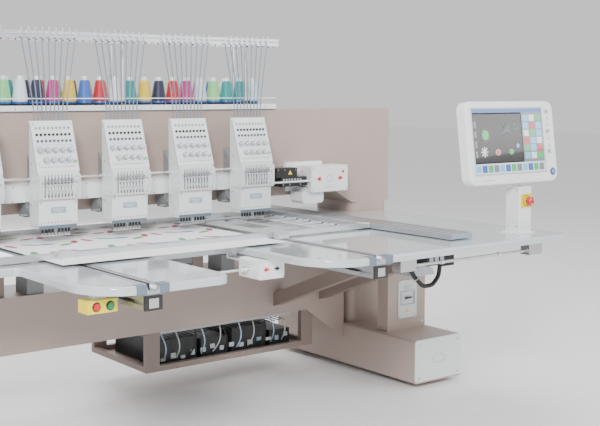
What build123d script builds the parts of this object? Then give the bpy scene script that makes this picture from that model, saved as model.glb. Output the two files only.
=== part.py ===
from build123d import *
import os
from math import atan, degrees

# Multi-head embroidery machine, millimetres.
# Origin: centre of the footprint on the floor. +X to the machine's right, +Y to its back, +Z up.

# ---- machine ----
HEADS = 5
HEAD_PITCH = 330.0
NEEDLES = 9
NEEDLE_PITCH = 14.7
NEEDLE_Y = 150.0
GAP = 1.0                     # clearance between parts that slide past each other
FIT = 0.05                    # radial running clearance of a shaft in its bore
SHEET = 3.0                   # wall of the sheet-metal boxes and covers
HEAD_X = [HEAD_PITCH * (i - (HEADS - 1) / 2) for i in range(HEADS)]
NEEDLE_X = [NEEDLE_PITCH * (i - (NEEDLES - 1) / 2) for i in range(NEEDLES)]
ACTIVE = NEEDLES // 2
LAST_X = HEAD_X[-1]

# ---- overall ----
TABLE_TOP = 800.0
TABLE_THICK = 28.0
TABLE_UNDER = TABLE_TOP - TABLE_THICK
BEAM_HALF_X = LAST_X + 1014.0
BEAM_FRONT_Y = 303.0
BEAM_DEPTH = 300.0
BEAM_REAR_Y = BEAM_FRONT_Y + BEAM_DEPTH
BEAM_BOTTOM_Z = TABLE_TOP + 110.0
BEAM_HEIGHT = 413.0
BEAM_TOP_Z = BEAM_BOTTOM_Z + BEAM_HEIGHT
BEAM_WALL = 8.0
BEAM_CORNER_R = 14.0

# ---- uprights, lower beam and feet ----
UPRIGHT_WIDTH = 252.0
UPRIGHT_INNER_X = BEAM_HALF_X - UPRIGHT_WIDTH
UPRIGHT_TOP_Z = BEAM_BOTTOM_Z - 62.0
UPRIGHT_EDGE_R = 45.0
BEAM_CHAMFER_X = 111.0
LOWER_BEAM_FRONT_Y = BEAM_FRONT_Y + 16.0
LOWER_BEAM_DEPTH = 270.0
LOWER_BEAM_REAR_Y = LOWER_BEAM_FRONT_Y + LOWER_BEAM_DEPTH
LOWER_BEAM_Z = (TABLE_TOP - 469.0, TABLE_TOP - 231.0)
GUSSET_X = 248.0
GUSSET_DROP = 170.0
FOOT_X = (UPRIGHT_INNER_X - 41.0, BEAM_HALF_X + 21.0)
FOOT_Z = (25.0, 233.0)
FOOT_Y = (-177.0, 843.0)
FOOT_WALL = 10.0
FOOT_EDGE_R = 12.0
END_PLATE_THICK = 5.0
SCREW_R = 5.0
SCREW_HEAD = 2.0
PAD_R = 45.0
PAD_THICK = 12.0
LEG_BOX_X = (UPRIGHT_INNER_X - 8.0, BEAM_HALF_X)
LEG_BOX_Y = (37.0, 107.0)
STRUT_X = (BEAM_HALF_X - 720.0, BEAM_HALF_X - 428.0)
STRUT_SIZE = 60.0
STRUT_FOOT_Z = LOWER_BEAM_Z[0] + 74.0
STRUT_SLOPE = 0.4

# ---- lower electrical bay ----
BAY_X = (208.0, 1180.0)
BAY_Y = (LOWER_BEAM_FRONT_Y + BEAM_WALL + GAP, 832.0)
BAY_BOTTOM_Z = LOWER_BEAM_Z[0] - 181.0
BAY_TUBE = 26.0
BAY_POST = 71.0

# ---- Y rails ----
RAIL_X = 1.5 * HEAD_PITCH
RAIL_SLOT = 60.0
RAIL_SLIT = 14.0
RAIL_REAR_Y = 560.0
RAIL_WIDTH = 65.0
RAIL_DEPTH = 45.0
RAIL_PLATE = 8.0
RAIL_TOP_Z = TABLE_UNDER - RAIL_PLATE
RAIL_BOTTOM_Z = RAIL_TOP_Z - RAIL_DEPTH
RAIL_CAP = 6.0
BRACKET_WIDTH = 120.0
BRACKET_DEPTH = 34.0
NOTCH_R = 24.0
Y_TRAVEL = 225.0
X_TRAVEL = 165.0

# ---- table ----
TABLE_HALF_X = BEAM_HALF_X - 64.0
TABLE_FRONT_Y = -850.0
TABLE_RECESS_Y = -306.0
TABLE_REAR_Y = 630.0
WING_LEFT_X = -RAIL_X - 205.0
WING_RIGHT_X = -RAIL_X + 316.0
RIGHT_TABLE_X = RAIL_X - 270.0
BIG_CORNER_R = 180.0
MID_CORNER_R = 60.0
SMALL_CORNER_R = 25.0
EDGE_R = 9.0
TABLE_GAP = 2.0               # gap between the table and the uprights

# ---- sash frame ----
SASH_FRONT_Y = -251.0
SASH_REAR_Y = 470.0
SASH_BAR = 34.0
SASH_HEIGHT = 20.0
SASH_Z = (TABLE_TOP + 6.0, TABLE_TOP + 6.0 + SASH_HEIGHT)
SASH_RIGHT_X = LAST_X + 353.0
CLOTH_THICK = 1.2
CLOTH_LIFT = 1.0
CLOTH_GAP = 9.0
LACING = 150.0
X_BAR_X = (SASH_RIGHT_X + 2 * GAP, SASH_RIGHT_X + 134.0)
X_BAR_Y = (-713.0, 640.0)
X_BAR_Z = (TABLE_TOP + 4.0, SASH_Z[1])
CLAMP_WIDTH = 55.0
CLIP_COUNT = 13
SIDE_CLIP_COUNT = 7
MOTOR_COVER_R = 71.0
MOTOR_COVER_Y = (-195.0, -25.0)
MOTOR_COVER_X = X_BAR_X[1] + X_TRAVEL + MOTOR_COVER_R + 35.0

# ---- embroidery heads ----
PLATE_WIDTH = 186.0
CASE_WIDTH = 170.0
CASE_FRONT_Y = 113.0
CASE_BACK_Y = 199.0
CASE_STEP = 8.0               # the upper and lower housings stand back from the take-up section
BASE_Z = (TABLE_TOP + 66.0, TABLE_TOP + 78.0)
COVER_Z = (BASE_Z[1], TABLE_TOP + 179.0)
TAKE_UP_Z = (COVER_Z[1], TABLE_TOP + 284.0)
PLATE_Z = (TAKE_UP_Z[1], TABLE_TOP + 491.0)
PLATE_LEAN = 67.0
PLATE_THICK = 8.0
PLATE_TILT = PLATE_LEAN / (PLATE_Z[1] - PLATE_Z[0])
PLATE_ANGLE = degrees(atan(PLATE_TILT))
COVER_THICK = 4.0
BAR_R = 3.0
CLAMP_R = 4.6
NEEDLE_TIP_Z = TABLE_TOP + 33.0
LEVER_PIVOT = (128.0, TABLE_TOP + 203.0)
LEVER_PIN_R = 3.0
LEVER_THICK = 2.4
LEVER_SLOT = 5.0
KNOB_R = 13.5
KNOB_PITCH = 33.5
ARM_WIDTH = 92.0
ARM_BOTTOM_Z = TABLE_TOP + 105.0
SHAFT_Y = 255.0
SHAFT_Z = TABLE_TOP + 200.0
SHAFT_R = 12.5
MOTOR_R = 44.0

# ---- rotary hooks ----
HOOK_SHAFT_Y = 255.0
HOOK_SHAFT_Z = TABLE_TOP - 105.0
HOOK_R = 21.0
HOOK_Z = TABLE_TOP - 43.0
HOOK_Y = (160.0, 186.0)
HOOK_BASE_Y = 200.0
HOOK_BASE_Z = TABLE_TOP - 150.0
HOOK_BASE_HALF = 38.0
NEEDLE_PLATE = (92.0, 170.0, 3.0)

# ---- thread rack ----
TRAY_HALF_X = LAST_X + 258.0
TRAY_Y = (297.0, 555.0)
TRAY_HEIGHT = 27.0
TRAY_Z = (BEAM_TOP_Z, BEAM_TOP_Z + TRAY_HEIGHT)
GUIDE_HALF_X = LAST_X + 193.0
GUIDE_Z = (BEAM_TOP_Z + 300.0, BEAM_TOP_Z + 327.0)
GUIDE_Y = 206.0
POLE_R = 9.5
POLE_Y = (330.0, 426.0)
POLE_INSET = 90.0
POLE_PITCH = 670.0
POLE_X = [GUIDE_HALF_X - POLE_INSET - POLE_PITCH * i for i in range(3)]
CONE_R = 33.0
CONE_H = 115.0
CONE_BORE_R = 7.0
CONE_PIN_R = 4.0
CONE_STAND = 8.0
CONE_ROWS = (365.0, 490.0)
CONE_PITCH = 75.0
HOOK_PITCH = 30.0
TUBE_R = 2.4
TUBE_PITCH = 18.0

# ---- colour-change unit ----
BOX_X = (LAST_X + 370.0, LAST_X + 602.0)
BOX_Y = (165.0, 285.0)
BOX_Z = (TABLE_TOP + 130.0, TABLE_TOP + 253.0)
ROD_R = 6.0
ROD_Z = TABLE_TOP + 185.0
ROD_Y = 178.0
HANDWHEEL_R = 26.0

# ---- control panel ----
COLUMN_X = (TABLE_HALF_X - 192.0, TABLE_HALF_X - 111.0)
COLUMN_Y = (-740.0, -665.0)
COLUMN_TOP_Z = TABLE_TOP + 200.0
COLUMN_WALL = 4.0
PANEL_X = (COLUMN_X[0] - 317.0, COLUMN_X[0] + 253.0)
PANEL_Z = (COLUMN_TOP_Z + 10.0, COLUMN_TOP_Z + 362.0)
PANEL_DEPTH = 48.0
PANEL_WALL = 8.0
PANEL_CORNER_R = 40.0
PANEL_LEAN = 7.0
PANEL_HINGE = (-678.0, COLUMN_TOP_Z + 50.0)
PANEL_PIN_R = 5.0
PANEL_FRONT_Y = PANEL_HINGE[0] - 20.0 - PANEL_DEPTH
SCREEN = (450.0, 273.0)
SCREEN_CENTRE = (PANEL_X[0] + 36.0 + SCREEN[0] / 2, PANEL_Z[1] - 33.0 - SCREEN[1] / 2)
POWER_CENTRE = (PANEL_X[1] - 38.0, PANEL_Z[0] + 42.0)
POWER_R = 15.0
STOP_Z = TABLE_TOP + 141.0
STOP_PLATE = (66.0, 60.0)
STOP_HEAD_R = 19.0
STOP_STEM_R = 11.0

# ---- operator controls ----
ROD_BAR_R = 6.0
START_BAR_Y = -445.0
START_BAR_Z = TABLE_UNDER - 44.0
START_BAR_X = (-RAIL_X + 80.0, RAIL_X - 163.0)
START_BOX_X = (RAIL_X - 305.0, RAIL_X - 180.0)
START_BOX_Z = (TABLE_UNDER - 80.0, TABLE_UNDER - 4.0)
START_BOX_DEPTH = 124.0
FRONT_BAR_Y = -800.0
FRONT_BAR_Z = TABLE_UNDER - 34.0
FRONT_BAR_X = (RAIL_X + 195.0, TABLE_HALF_X - 208.0)
PUSH_BOX_X = (-RAIL_X - 173.0, -RAIL_X - 64.0)
PUSH_BOX_Z = (TABLE_UNDER - 67.0, TABLE_UNDER - 25.0)
PUSH_BOX_FRONT_Y = -736.0
PUSH_BOX_DEPTH = 62.0
PUSH_X = (PUSH_BOX_X[0] + 32.0, PUSH_BOX_X[1] - 27.0)
BUTTON_R = 11.5
BUTTON_PLAY = 0.4
BREAKER_X = (LEG_BOX_X[0] + 69.0, LEG_BOX_X[0] + 197.0)
BREAKER_Z = (FOOT_Z[1] + 57.0, FOOT_Z[1] + 244.0)
WINDOW = (92.0, 66.0)
WINDOW_Z = FOOT_Z[1] + 156.0


def block(x, y, z):
    """Box between two limits on each axis."""
    size = (x[1] - x[0], y[1] - y[0], z[1] - z[0])
    return Pos(sum(x) / 2, sum(y) / 2, sum(z) / 2) * Box(*size)


def rod_x(x, y, z, r):
    """Round bar along X from x[0] to x[1]."""
    return Pos(sum(x) / 2, y, z) * Rot(0, 90, 0) * Cylinder(r, x[1] - x[0])


def rod_y(x, y, z, r):
    """Round bar along Y from y[0] to y[1]."""
    return Pos(x, sum(y) / 2, z) * Rot(90, 0, 0) * Cylinder(r, y[1] - y[0])


def rod_z(x, y, z, r):
    """Round bar along Z from z[0] to z[1]."""
    return Pos(x, y, sum(z) / 2) * Cylinder(r, z[1] - z[0])


def profile_x(points, x):
    """Solid with a YZ outline, running along X from x[0] to x[1]."""
    face = make_face(Polyline(*[(x[0], y, z) for y, z in points], close=True))
    return extrude(face, amount=x[1] - x[0], dir=(1, 0, 0))


def profile_y(points, y):
    """Solid with an XZ outline, running along Y from y[0] to y[1]."""
    face = make_face(Polyline(*[(px, y[0], z) for px, z in points], close=True))
    return extrude(face, amount=y[1] - y[0], dir=(0, 1, 0))


def hollow(x, y, z, wall):
    """Box with a sealed hollow inside its walls."""
    inner = [(a + wall, b - wall) for a, b in (x, y, z)]
    return block(x, y, z) - block(*inner)


def mirrored(solids):
    """The solids and their mirror images across the machine's middle plane."""
    return list(solids) + [mirror(s, about=Plane.YZ) for s in solids]


def along_x(make):
    """One copy of a head's part at each head."""
    return [part for x in HEAD_X for part in make(x)]


# ---------------------------------------------------------------- structure

def upper_beam():
    """Box beam over the table, with sloped corners where it meets the uprights."""
    edge = UPRIGHT_INNER_X - BEAM_CHAMFER_X

    def outline(inset):
        top = BEAM_TOP_Z - inset
        low = BEAM_BOTTOM_Z + inset
        end = BEAM_HALF_X - inset
        half = [(end, top), (end, UPRIGHT_TOP_Z + inset), (UPRIGHT_INNER_X + inset, UPRIGHT_TOP_Z + inset),
                (edge + inset, low)]
        return half + [(-x, z) for x, z in reversed(half)]

    shell = profile_y(outline(0), (BEAM_FRONT_Y, BEAM_REAR_Y))
    shell = fillet(shell.edges().filter_by(Axis.Y).group_by(Axis.Z)[-1], BEAM_CORNER_R)
    room = profile_y(outline(BEAM_WALL), (BEAM_FRONT_Y + BEAM_WALL, BEAM_REAR_Y - BEAM_WALL))
    return [shell - room]


def uprights():
    """End uprights between the feet and the upper beam."""
    x = (UPRIGHT_INNER_X, BEAM_HALF_X)
    y = (BEAM_FRONT_Y, BEAM_REAR_Y)
    z = (FOOT_Z[1], UPRIGHT_TOP_Z)
    post = block(x, y, z)
    post = fillet(post.edges().filter_by(Axis.Z), UPRIGHT_EDGE_R)
    room = block((x[0] + BEAM_WALL, x[1] - BEAM_WALL), (y[0] + BEAM_WALL, y[1] - BEAM_WALL),
                 (z[0] + BEAM_WALL, z[1] - BEAM_WALL))
    room = fillet(room.edges().filter_by(Axis.Z), UPRIGHT_EDGE_R - BEAM_WALL)
    return mirrored([post - room])


def lower_beam():
    """Box beam between the feet, with a gusset under each end and a tie to each upright."""
    x = (-FOOT_X[0], FOOT_X[0])
    y = (LOWER_BEAM_FRONT_Y, LOWER_BEAM_REAR_Y)
    tube = hollow(x, y, LOWER_BEAM_Z, BEAM_WALL)
    low = LOWER_BEAM_Z[0]
    corner = [(FOOT_X[0] - GUSSET_X, low), (FOOT_X[0], low), (FOOT_X[0], low - GUSSET_DROP)]
    gusset = profile_y(corner, (y[0], y[0] + BEAM_WALL))
    end = block((FOOT_X[0] - BEAM_WALL, FOOT_X[0]), (y[0] + BEAM_WALL, y[1]), (FOOT_Z[1] - 72, low))
    tie = block((FOOT_X[0], UPRIGHT_INNER_X), (LOWER_BEAM_FRONT_Y + 40, LOWER_BEAM_REAR_Y - 40),
                (FOOT_Z[1], LOWER_BEAM_Z[1]))
    return [tube] + mirrored([gusset, end, tie])


def feet():
    """Long box feet under the uprights."""
    tube = block(FOOT_X, FOOT_Y, FOOT_Z)
    tube = fillet(tube.edges().filter_by(Axis.Y), FOOT_EDGE_R)
    room = block((FOOT_X[0] + FOOT_WALL, FOOT_X[1] - FOOT_WALL), FOOT_Y,
                 (FOOT_Z[0] + FOOT_WALL, FOOT_Z[1] - FOOT_WALL))
    return mirrored([tube - room])


def foot_end_plates():
    """Screwed plates that close the feet's ends."""
    solids = []
    for y, out in ((FOOT_Y[0], -1), (FOOT_Y[1], 1)):
        span = tuple(sorted((y, y + out * END_PLATE_THICK)))
        plate = block(FOOT_X, span, (FOOT_Z[0] + 8, FOOT_Z[1]))
        plate = fillet(plate.edges().filter_by(Axis.Y), FOOT_EDGE_R)
        solids.append(plate)
        face = y + out * END_PLATE_THICK
        for x in (FOOT_X[0] + 30, FOOT_X[1] - 22):
            for z in (FOOT_Z[0] + 30, FOOT_Z[1] - 22):
                solids.append(rod_y(x, tuple(sorted((face, face + out * SCREW_HEAD))), z, SCREW_R))
    return mirrored(solids)


def levelling_feet():
    """Threaded pads under the feet."""
    solids = []
    x = sum(FOOT_X) / 2
    for y in (FOOT_Y[0] + 110, sum(FOOT_Y) / 2 + 60, FOOT_Y[1] - 80):
        solids.append(rod_z(x, y, (0, PAD_THICK), PAD_R))
        solids.append(rod_z(x, y, (PAD_THICK, FOOT_Z[0]), PAD_R * 0.35))
    return mirrored(solids)


def leg_boxes():
    """Flat switch boxes standing on the feet in front of the uprights, under the table."""
    return mirrored([hollow(LEG_BOX_X, LEG_BOX_Y, (FOOT_Z[1], TABLE_UNDER), SHEET)])


def table_struts():
    """Sloping square struts and rail posts that carry the table from the lower beam."""
    half = STRUT_SIZE / 2
    y0 = LOWER_BEAM_FRONT_Y
    rise = TABLE_UNDER - STRUT_FOOT_Z
    y1 = y0 - rise / STRUT_SLOPE
    slant = STRUT_SIZE * (1 + STRUT_SLOPE ** 2) ** 0.5
    side = [(y0, STRUT_FOOT_Z - slant / 2), (y0, STRUT_FOOT_Z + slant / 2),
            (y1 + slant / 2 / STRUT_SLOPE, TABLE_UNDER), (y1 - slant / 2 / STRUT_SLOPE, TABLE_UNDER)]
    struts = [profile_x(side, (x - half, x + half)) for x in STRUT_X]
    posts = []
    for x in (-RAIL_X, RAIL_X):
        posts.append(hollow((x - half, x + half), (y0 + 20, y0 + 110), (LOWER_BEAM_Z[1], RAIL_BOTTOM_Z), 5))
    cross_y = (TABLE_REAR_Y - 60, TABLE_REAR_Y - 20)
    cross = block((-UPRIGHT_INNER_X, UPRIGHT_INNER_X), cross_y, (TABLE_UNDER - 30, TABLE_UNDER))
    return struts + posts + [cross]


def lower_bay_frame():
    """Open frame of square tubes under the lower beam, with a floor tray."""
    top = LOWER_BEAM_Z[0]
    t = BAY_TUBE
    solids = []
    for x in (BAY_X[0], BAY_X[1] - BAY_POST):
        for y in (BAY_Y[0], BAY_Y[1] - t):
            solids.append(block((x, x + BAY_POST), (y, y + t), (BAY_BOTTOM_Z + t, top)))
    for y in (BAY_Y[0], BAY_Y[1] - t):
        solids.append(block(BAY_X, (y, y + t), (BAY_BOTTOM_Z, BAY_BOTTOM_Z + t)))
    for x in (BAY_X[0], BAY_X[1] - t):
        inner = (BAY_Y[0] + t, BAY_Y[1] - t)
        solids.append(block((x, x + t), inner, (BAY_BOTTOM_Z, BAY_BOTTOM_Z + t)))
    solids.append(block((BAY_X[0] + t, BAY_X[1] - t), (BAY_Y[0] + t, BAY_Y[1] - t),
                        (BAY_BOTTOM_Z, BAY_BOTTOM_Z + SHEET)))
    rear = (LOWER_BEAM_REAR_Y, BAY_Y[1])
    for x in (BAY_X[0], BAY_X[1] - t):
        solids.append(block((x, x + t), rear, (top, top + t)))
    return solids


def control_boxes():
    """Power supply, servo drives and transformer inside the bay."""
    floor = BAY_BOTTOM_Z + SHEET
    y = (BAY_Y[0] + 60, BAY_Y[1] - 70)
    spans = ((300, 520, 118), (545, 700, 96), (725, 930, 124), (955, 1080, 84))
    return [block((a, b), y, (floor, floor + h)) for a, b, h in spans]


# ---------------------------------------------------------------- table and rails

def table_outline():
    """Table outline with its front wings, as one closed wire."""
    f, r = TABLE_FRONT_Y, TABLE_RECESS_Y
    back = BEAM_FRONT_Y - TABLE_GAP
    side = UPRIGHT_INNER_X - TABLE_GAP
    points = [(-TABLE_HALF_X, r), (WING_LEFT_X, r), (WING_LEFT_X, f), (WING_RIGHT_X, f), (WING_RIGHT_X, r),
              (RIGHT_TABLE_X, r), (RIGHT_TABLE_X, f), (TABLE_HALF_X, f), (TABLE_HALF_X, back),
              (side, back), (side, TABLE_REAR_Y), (-side, TABLE_REAR_Y), (-side, back), (-TABLE_HALF_X, back)]
    big, mid, small = BIG_CORNER_R, MID_CORNER_R, SMALL_CORNER_R
    radii = [small, small, big, mid, small, small, big, small, small, 0, 0, 0, 0, small]
    sketch = make_face(Polyline(*points, close=True))
    for point, radius in zip(points, radii):
        if radius:
            corner = [v for v in sketch.vertices() if abs(v.X - point[0]) < 1 and abs(v.Y - point[1]) < 1]
            sketch = fillet(corner, radius)
    return sketch


def table_top():
    """Laminate table with rounded edges, rail slots and a cut-out for each needle plate."""
    slab = Pos(0, 0, TABLE_UNDER) * extrude(table_outline(), amount=TABLE_THICK)
    slab = fillet(slab.edges().group_by(Axis.Z)[-1], EDGE_R)
    for x in (-RAIL_X, RAIL_X):
        half = RAIL_SLOT / 2
        slab -= block((x - half, x + half), (TABLE_FRONT_Y - 5, RAIL_REAR_Y), (TABLE_UNDER - 1, TABLE_TOP + 1))
        half = BRACKET_WIDTH / 2
        slab -= block((x - half, x + half), (TABLE_FRONT_Y - 5, TABLE_FRONT_Y + BRACKET_DEPTH),
                      (TABLE_UNDER - 1, TABLE_TOP + 1))
    for x in HEAD_X:
        w, d = NEEDLE_PLATE[0] / 2, NEEDLE_PLATE[1] / 2
        slab -= block((x - w, x + w), (NEEDLE_Y - d, NEEDLE_Y + d), (TABLE_UNDER - 1, TABLE_TOP + 1))
    return [slab]


def y_rails():
    """Aluminium rails under the table slots, with slot strips, mounting plates and end fittings."""
    solids = []
    front = TABLE_FRONT_Y + BRACKET_DEPTH
    for x in (-RAIL_X, RAIL_X):
        w = RAIL_WIDTH / 2
        body = block((x - w, x + w), (TABLE_FRONT_Y + 2 * RAIL_CAP, RAIL_REAR_Y), (RAIL_BOTTOM_Z, RAIL_TOP_Z))
        for side in (-1, 1):
            body -= block(tuple(sorted((x + side * w, x + side * (w - 9)))), (TABLE_FRONT_Y, RAIL_REAR_Y + 1),
                          (RAIL_BOTTOM_Z + 16, RAIL_BOTTOM_Z + 28))
        solids.append(body)
        solids.append(block((x - w, x + w), (TABLE_FRONT_Y + 8, RAIL_REAR_Y), (RAIL_TOP_Z, TABLE_UNDER)))
        for side in (-1, 1):
            strip = tuple(sorted((x + side * RAIL_SLIT / 2, x + side * (RAIL_SLOT / 2))))
            solids.append(block(strip, (front, RAIL_REAR_Y), (TABLE_UNDER, TABLE_TOP - 1)))
        solids += rail_ends(x)
    return solids


def rail_ends(x):
    """End bracket with a half-round notch, and the rail's cap."""
    half = BRACKET_WIDTH / 2
    cheek = block((x - half, x + half), (TABLE_FRONT_Y, TABLE_FRONT_Y + BRACKET_DEPTH), (TABLE_UNDER, TABLE_TOP))
    cheek -= rod_y(x, (TABLE_FRONT_Y - 5, TABLE_FRONT_Y + BRACKET_DEPTH + 5), TABLE_TOP, NOTCH_R)
    w = RAIL_WIDTH / 2
    cap = block((x - w, x + w), (TABLE_FRONT_Y + RAIL_CAP, TABLE_FRONT_Y + 2 * RAIL_CAP),
                (RAIL_BOTTOM_Z, RAIL_TOP_Z))
    return [cheek, cap]


def y_clamps():
    """Clamps that ride in the rail slots and carry the sash frame's front bar."""
    solids = []
    for x in (-RAIL_X, RAIL_X):
        half = CLAMP_WIDTH / 2
        top = SASH_Z[1] + GAP
        y0, y1 = SASH_FRONT_Y - 34, SASH_FRONT_Y - GAP
        body = block((x - half, x + half), (y0, y1), (TABLE_TOP + GAP, top))
        lip = block((x - half, x + half), (y0, SASH_FRONT_Y + 16), (top, top + 7))
        stem_half = RAIL_SLIT / 2 - GAP
        stem = block((x - stem_half, x + stem_half), (y0 + 4, y1 - 4), (TABLE_UNDER + GAP, TABLE_TOP + GAP))
        solids.append(body + lip + stem)
    return solids


# ---------------------------------------------------------------- sash frame

def sash_frame():
    """Four aluminium bars around the cloth."""
    x0, x1 = -SASH_RIGHT_X, SASH_RIGHT_X
    y0, y1 = SASH_FRONT_Y, SASH_REAR_Y
    solids = [block((x0, x1), (y0, y0 + SASH_BAR), SASH_Z), block((x0, x1), (y1 - SASH_BAR, y1), SASH_Z)]
    inner = (y0 + SASH_BAR, y1 - SASH_BAR)
    for a, b in ((x0, x0 + SASH_BAR), (x1 - SASH_BAR, x1)):
        solids.append(block((a, b), inner, SASH_Z))
    return solids


def cloth():
    """Cloth stretched a little inside the sash frame."""
    inset = SASH_BAR + CLOTH_GAP
    x = (-SASH_RIGHT_X + inset, SASH_RIGHT_X - inset - LACING)
    y = (SASH_FRONT_Y + inset, SASH_REAR_Y - inset)
    z = SASH_Z[0] + CLOTH_LIFT
    return [block(x, y, (z, z + CLOTH_THICK))]


def sash_clips():
    """Clips and lacing that pull the cloth to the frame on all four sides."""
    solids = []
    inset = SASH_BAR + CLOTH_GAP
    grip = inset + 8
    low = SASH_Z[0] + CLOTH_LIFT + CLOTH_THICK
    z = (low, low + 4.8)
    for i in range(CLIP_COUNT):
        x = -SASH_RIGHT_X + 120 + i * (2 * SASH_RIGHT_X - LACING - 250) / (CLIP_COUNT - 1)
        for wall, cloth_y in ((SASH_FRONT_Y + SASH_BAR, SASH_FRONT_Y + grip),
                              (SASH_REAR_Y - SASH_BAR, SASH_REAR_Y - grip)):
            solids.append(block((x - 9, x + 9), tuple(sorted((wall, cloth_y))), z))
    for i in range(SIDE_CLIP_COUNT):
        y = SASH_FRONT_Y + inset + 45 + i * (SASH_REAR_Y - SASH_FRONT_Y - 2 * inset - 90) / (SIDE_CLIP_COUNT - 1)
        solids.append(block((-SASH_RIGHT_X + SASH_BAR, -SASH_RIGHT_X + grip), (y - 9, y + 9), z))
        solids.append(block((SASH_RIGHT_X - grip - LACING, SASH_RIGHT_X - SASH_BAR), (y - 4, y + 4), z))
    return solids


def x_bar():
    """Long flat bar beside the sash frame that drives it sideways."""
    bar = block(X_BAR_X, X_BAR_Y, X_BAR_Z)
    groove = block((X_BAR_X[1] - 24, X_BAR_X[1] - 20), (X_BAR_Y[0], X_BAR_Y[1]), (X_BAR_Z[1] - 2, X_BAR_Z[1] + 1))
    cap = block(X_BAR_X, (X_BAR_Y[0] - 5, X_BAR_Y[0]), X_BAR_Z)
    return [bar - groove, cap]


def x_drive_cover():
    """Half-round cover over the sideways drive motor, lying on the table."""
    r = MOTOR_COVER_R
    x, y = MOTOR_COVER_X, MOTOR_COVER_Y
    shell = rod_y(x, y, TABLE_TOP, r) - rod_y(x, (y[0] + 2, y[1] - 2), TABLE_TOP, r - 2)
    shell = shell & block((x - r, x + r), y, (TABLE_TOP, TABLE_TOP + r))
    return [Pos(0, 0, TABLE_TOP) * scale(Pos(0, 0, -TABLE_TOP) * shell, by=(1, 1, 0.68))]


# ---------------------------------------------------------------- embroidery heads

def head_arms():
    """Castings that carry the needle cases, bored for the main shaft, with their jump actuators."""
    def make(x):
        half = ARM_WIDTH / 2
        side = [(CASE_BACK_Y + GAP, ARM_BOTTOM_Z + 20), (CASE_BACK_Y + GAP + 18, ARM_BOTTOM_Z),
                (BEAM_FRONT_Y, ARM_BOTTOM_Z + 12), (BEAM_FRONT_Y, TAKE_UP_Z[1] + 66),
                (CASE_BACK_Y + 40, TAKE_UP_Z[1] - 4), (CASE_BACK_Y + GAP, TAKE_UP_Z[1] - 4)]
        arm = profile_x(side, (x - half, x + half))
        return [arm - rod_x((x - half - 1, x + half + 1), SHAFT_Y, SHAFT_Z, SHAFT_R + FIT)] + jump_motor(x)
    return along_x(make)


def shaft_covers():
    """White channel covers over the main shaft between the heads."""
    solids = []
    lefts = [HEAD_X[0] - HEAD_PITCH / 2] + HEAD_X
    rights = HEAD_X + [HEAD_X[-1] + ARM_WIDTH / 2 + 60]
    for a, b in zip(lefts, rights):
        x0 = a + ARM_WIDTH / 2 if a in HEAD_X else a
        x1 = b - ARM_WIDTH / 2 if b in HEAD_X else b
        if x1 - x0 < 30:
            continue
        front, t = CASE_BACK_Y + 17, SHEET
        z = (SHAFT_Z - 34, SHAFT_Z + 36)
        side = [(front, z[0]), (front, z[1]), (BEAM_FRONT_Y, z[1]), (BEAM_FRONT_Y, z[1] - t),
                (front + t, z[1] - t), (front + t, z[0] + t), (BEAM_FRONT_Y, z[0] + t), (BEAM_FRONT_Y, z[0])]
        solids.append(profile_x(side, (x0, x1)))
    return solids


def jump_motor(x):
    """Needle-jump and trimmer actuator on the left of a head arm."""
    x1 = x - ARM_WIDTH / 2
    back, low = CASE_BACK_Y + 23, ARM_BOTTOM_Z
    body = block((x1 - 46, x1), (back, back + 63), (low, low + 57))
    motor = rod_y(x1 - 26, (back - 18, back), low + 29, 19)
    finger = block((x1 - 78, x1 - 46), (back - 16, back - 8), (low + 7, low + 15))
    tie = block((x1 - 60, x1 - 46), (back - 8, back + 18), (low + 7, low + 15))
    return [body, motor, finger + tie]


def main_shaft():
    """Main shaft through all head arms, with a pulley at its left end."""
    x = (HEAD_X[0] - 300, HEAD_X[-1] + ARM_WIDTH / 2 + 50)
    pulley = rod_x((x[0], x[0] + 26), SHAFT_Y, SHAFT_Z, 40)
    return [rod_x(x, SHAFT_Y, SHAFT_Z, SHAFT_R) + pulley]


def main_motor():
    """Main servo motor on the beam, in line with the shaft's left end."""
    x1 = HEAD_X[0] - 302
    can = rod_x((x1 - 150, x1 - 14), SHAFT_Y, SHAFT_Z, MOTOR_R)
    flange = block((x1 - 14, x1), (SHAFT_Y - MOTOR_R - 2, BEAM_FRONT_Y),
                   (SHAFT_Z - MOTOR_R - 6, SHAFT_Z + MOTOR_R + 6))
    return [can, flange]


def upper_profile(front_y, inset):
    """YZ outline of the case's leaning upper housing."""
    z0, z1 = PLATE_Z
    top_y = front_y + (z1 - inset - z0) * PLATE_TILT
    return [(front_y, z0), (top_y, z1 - inset), (CASE_BACK_Y, z1 - inset), (CASE_BACK_Y, z0)]


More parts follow.
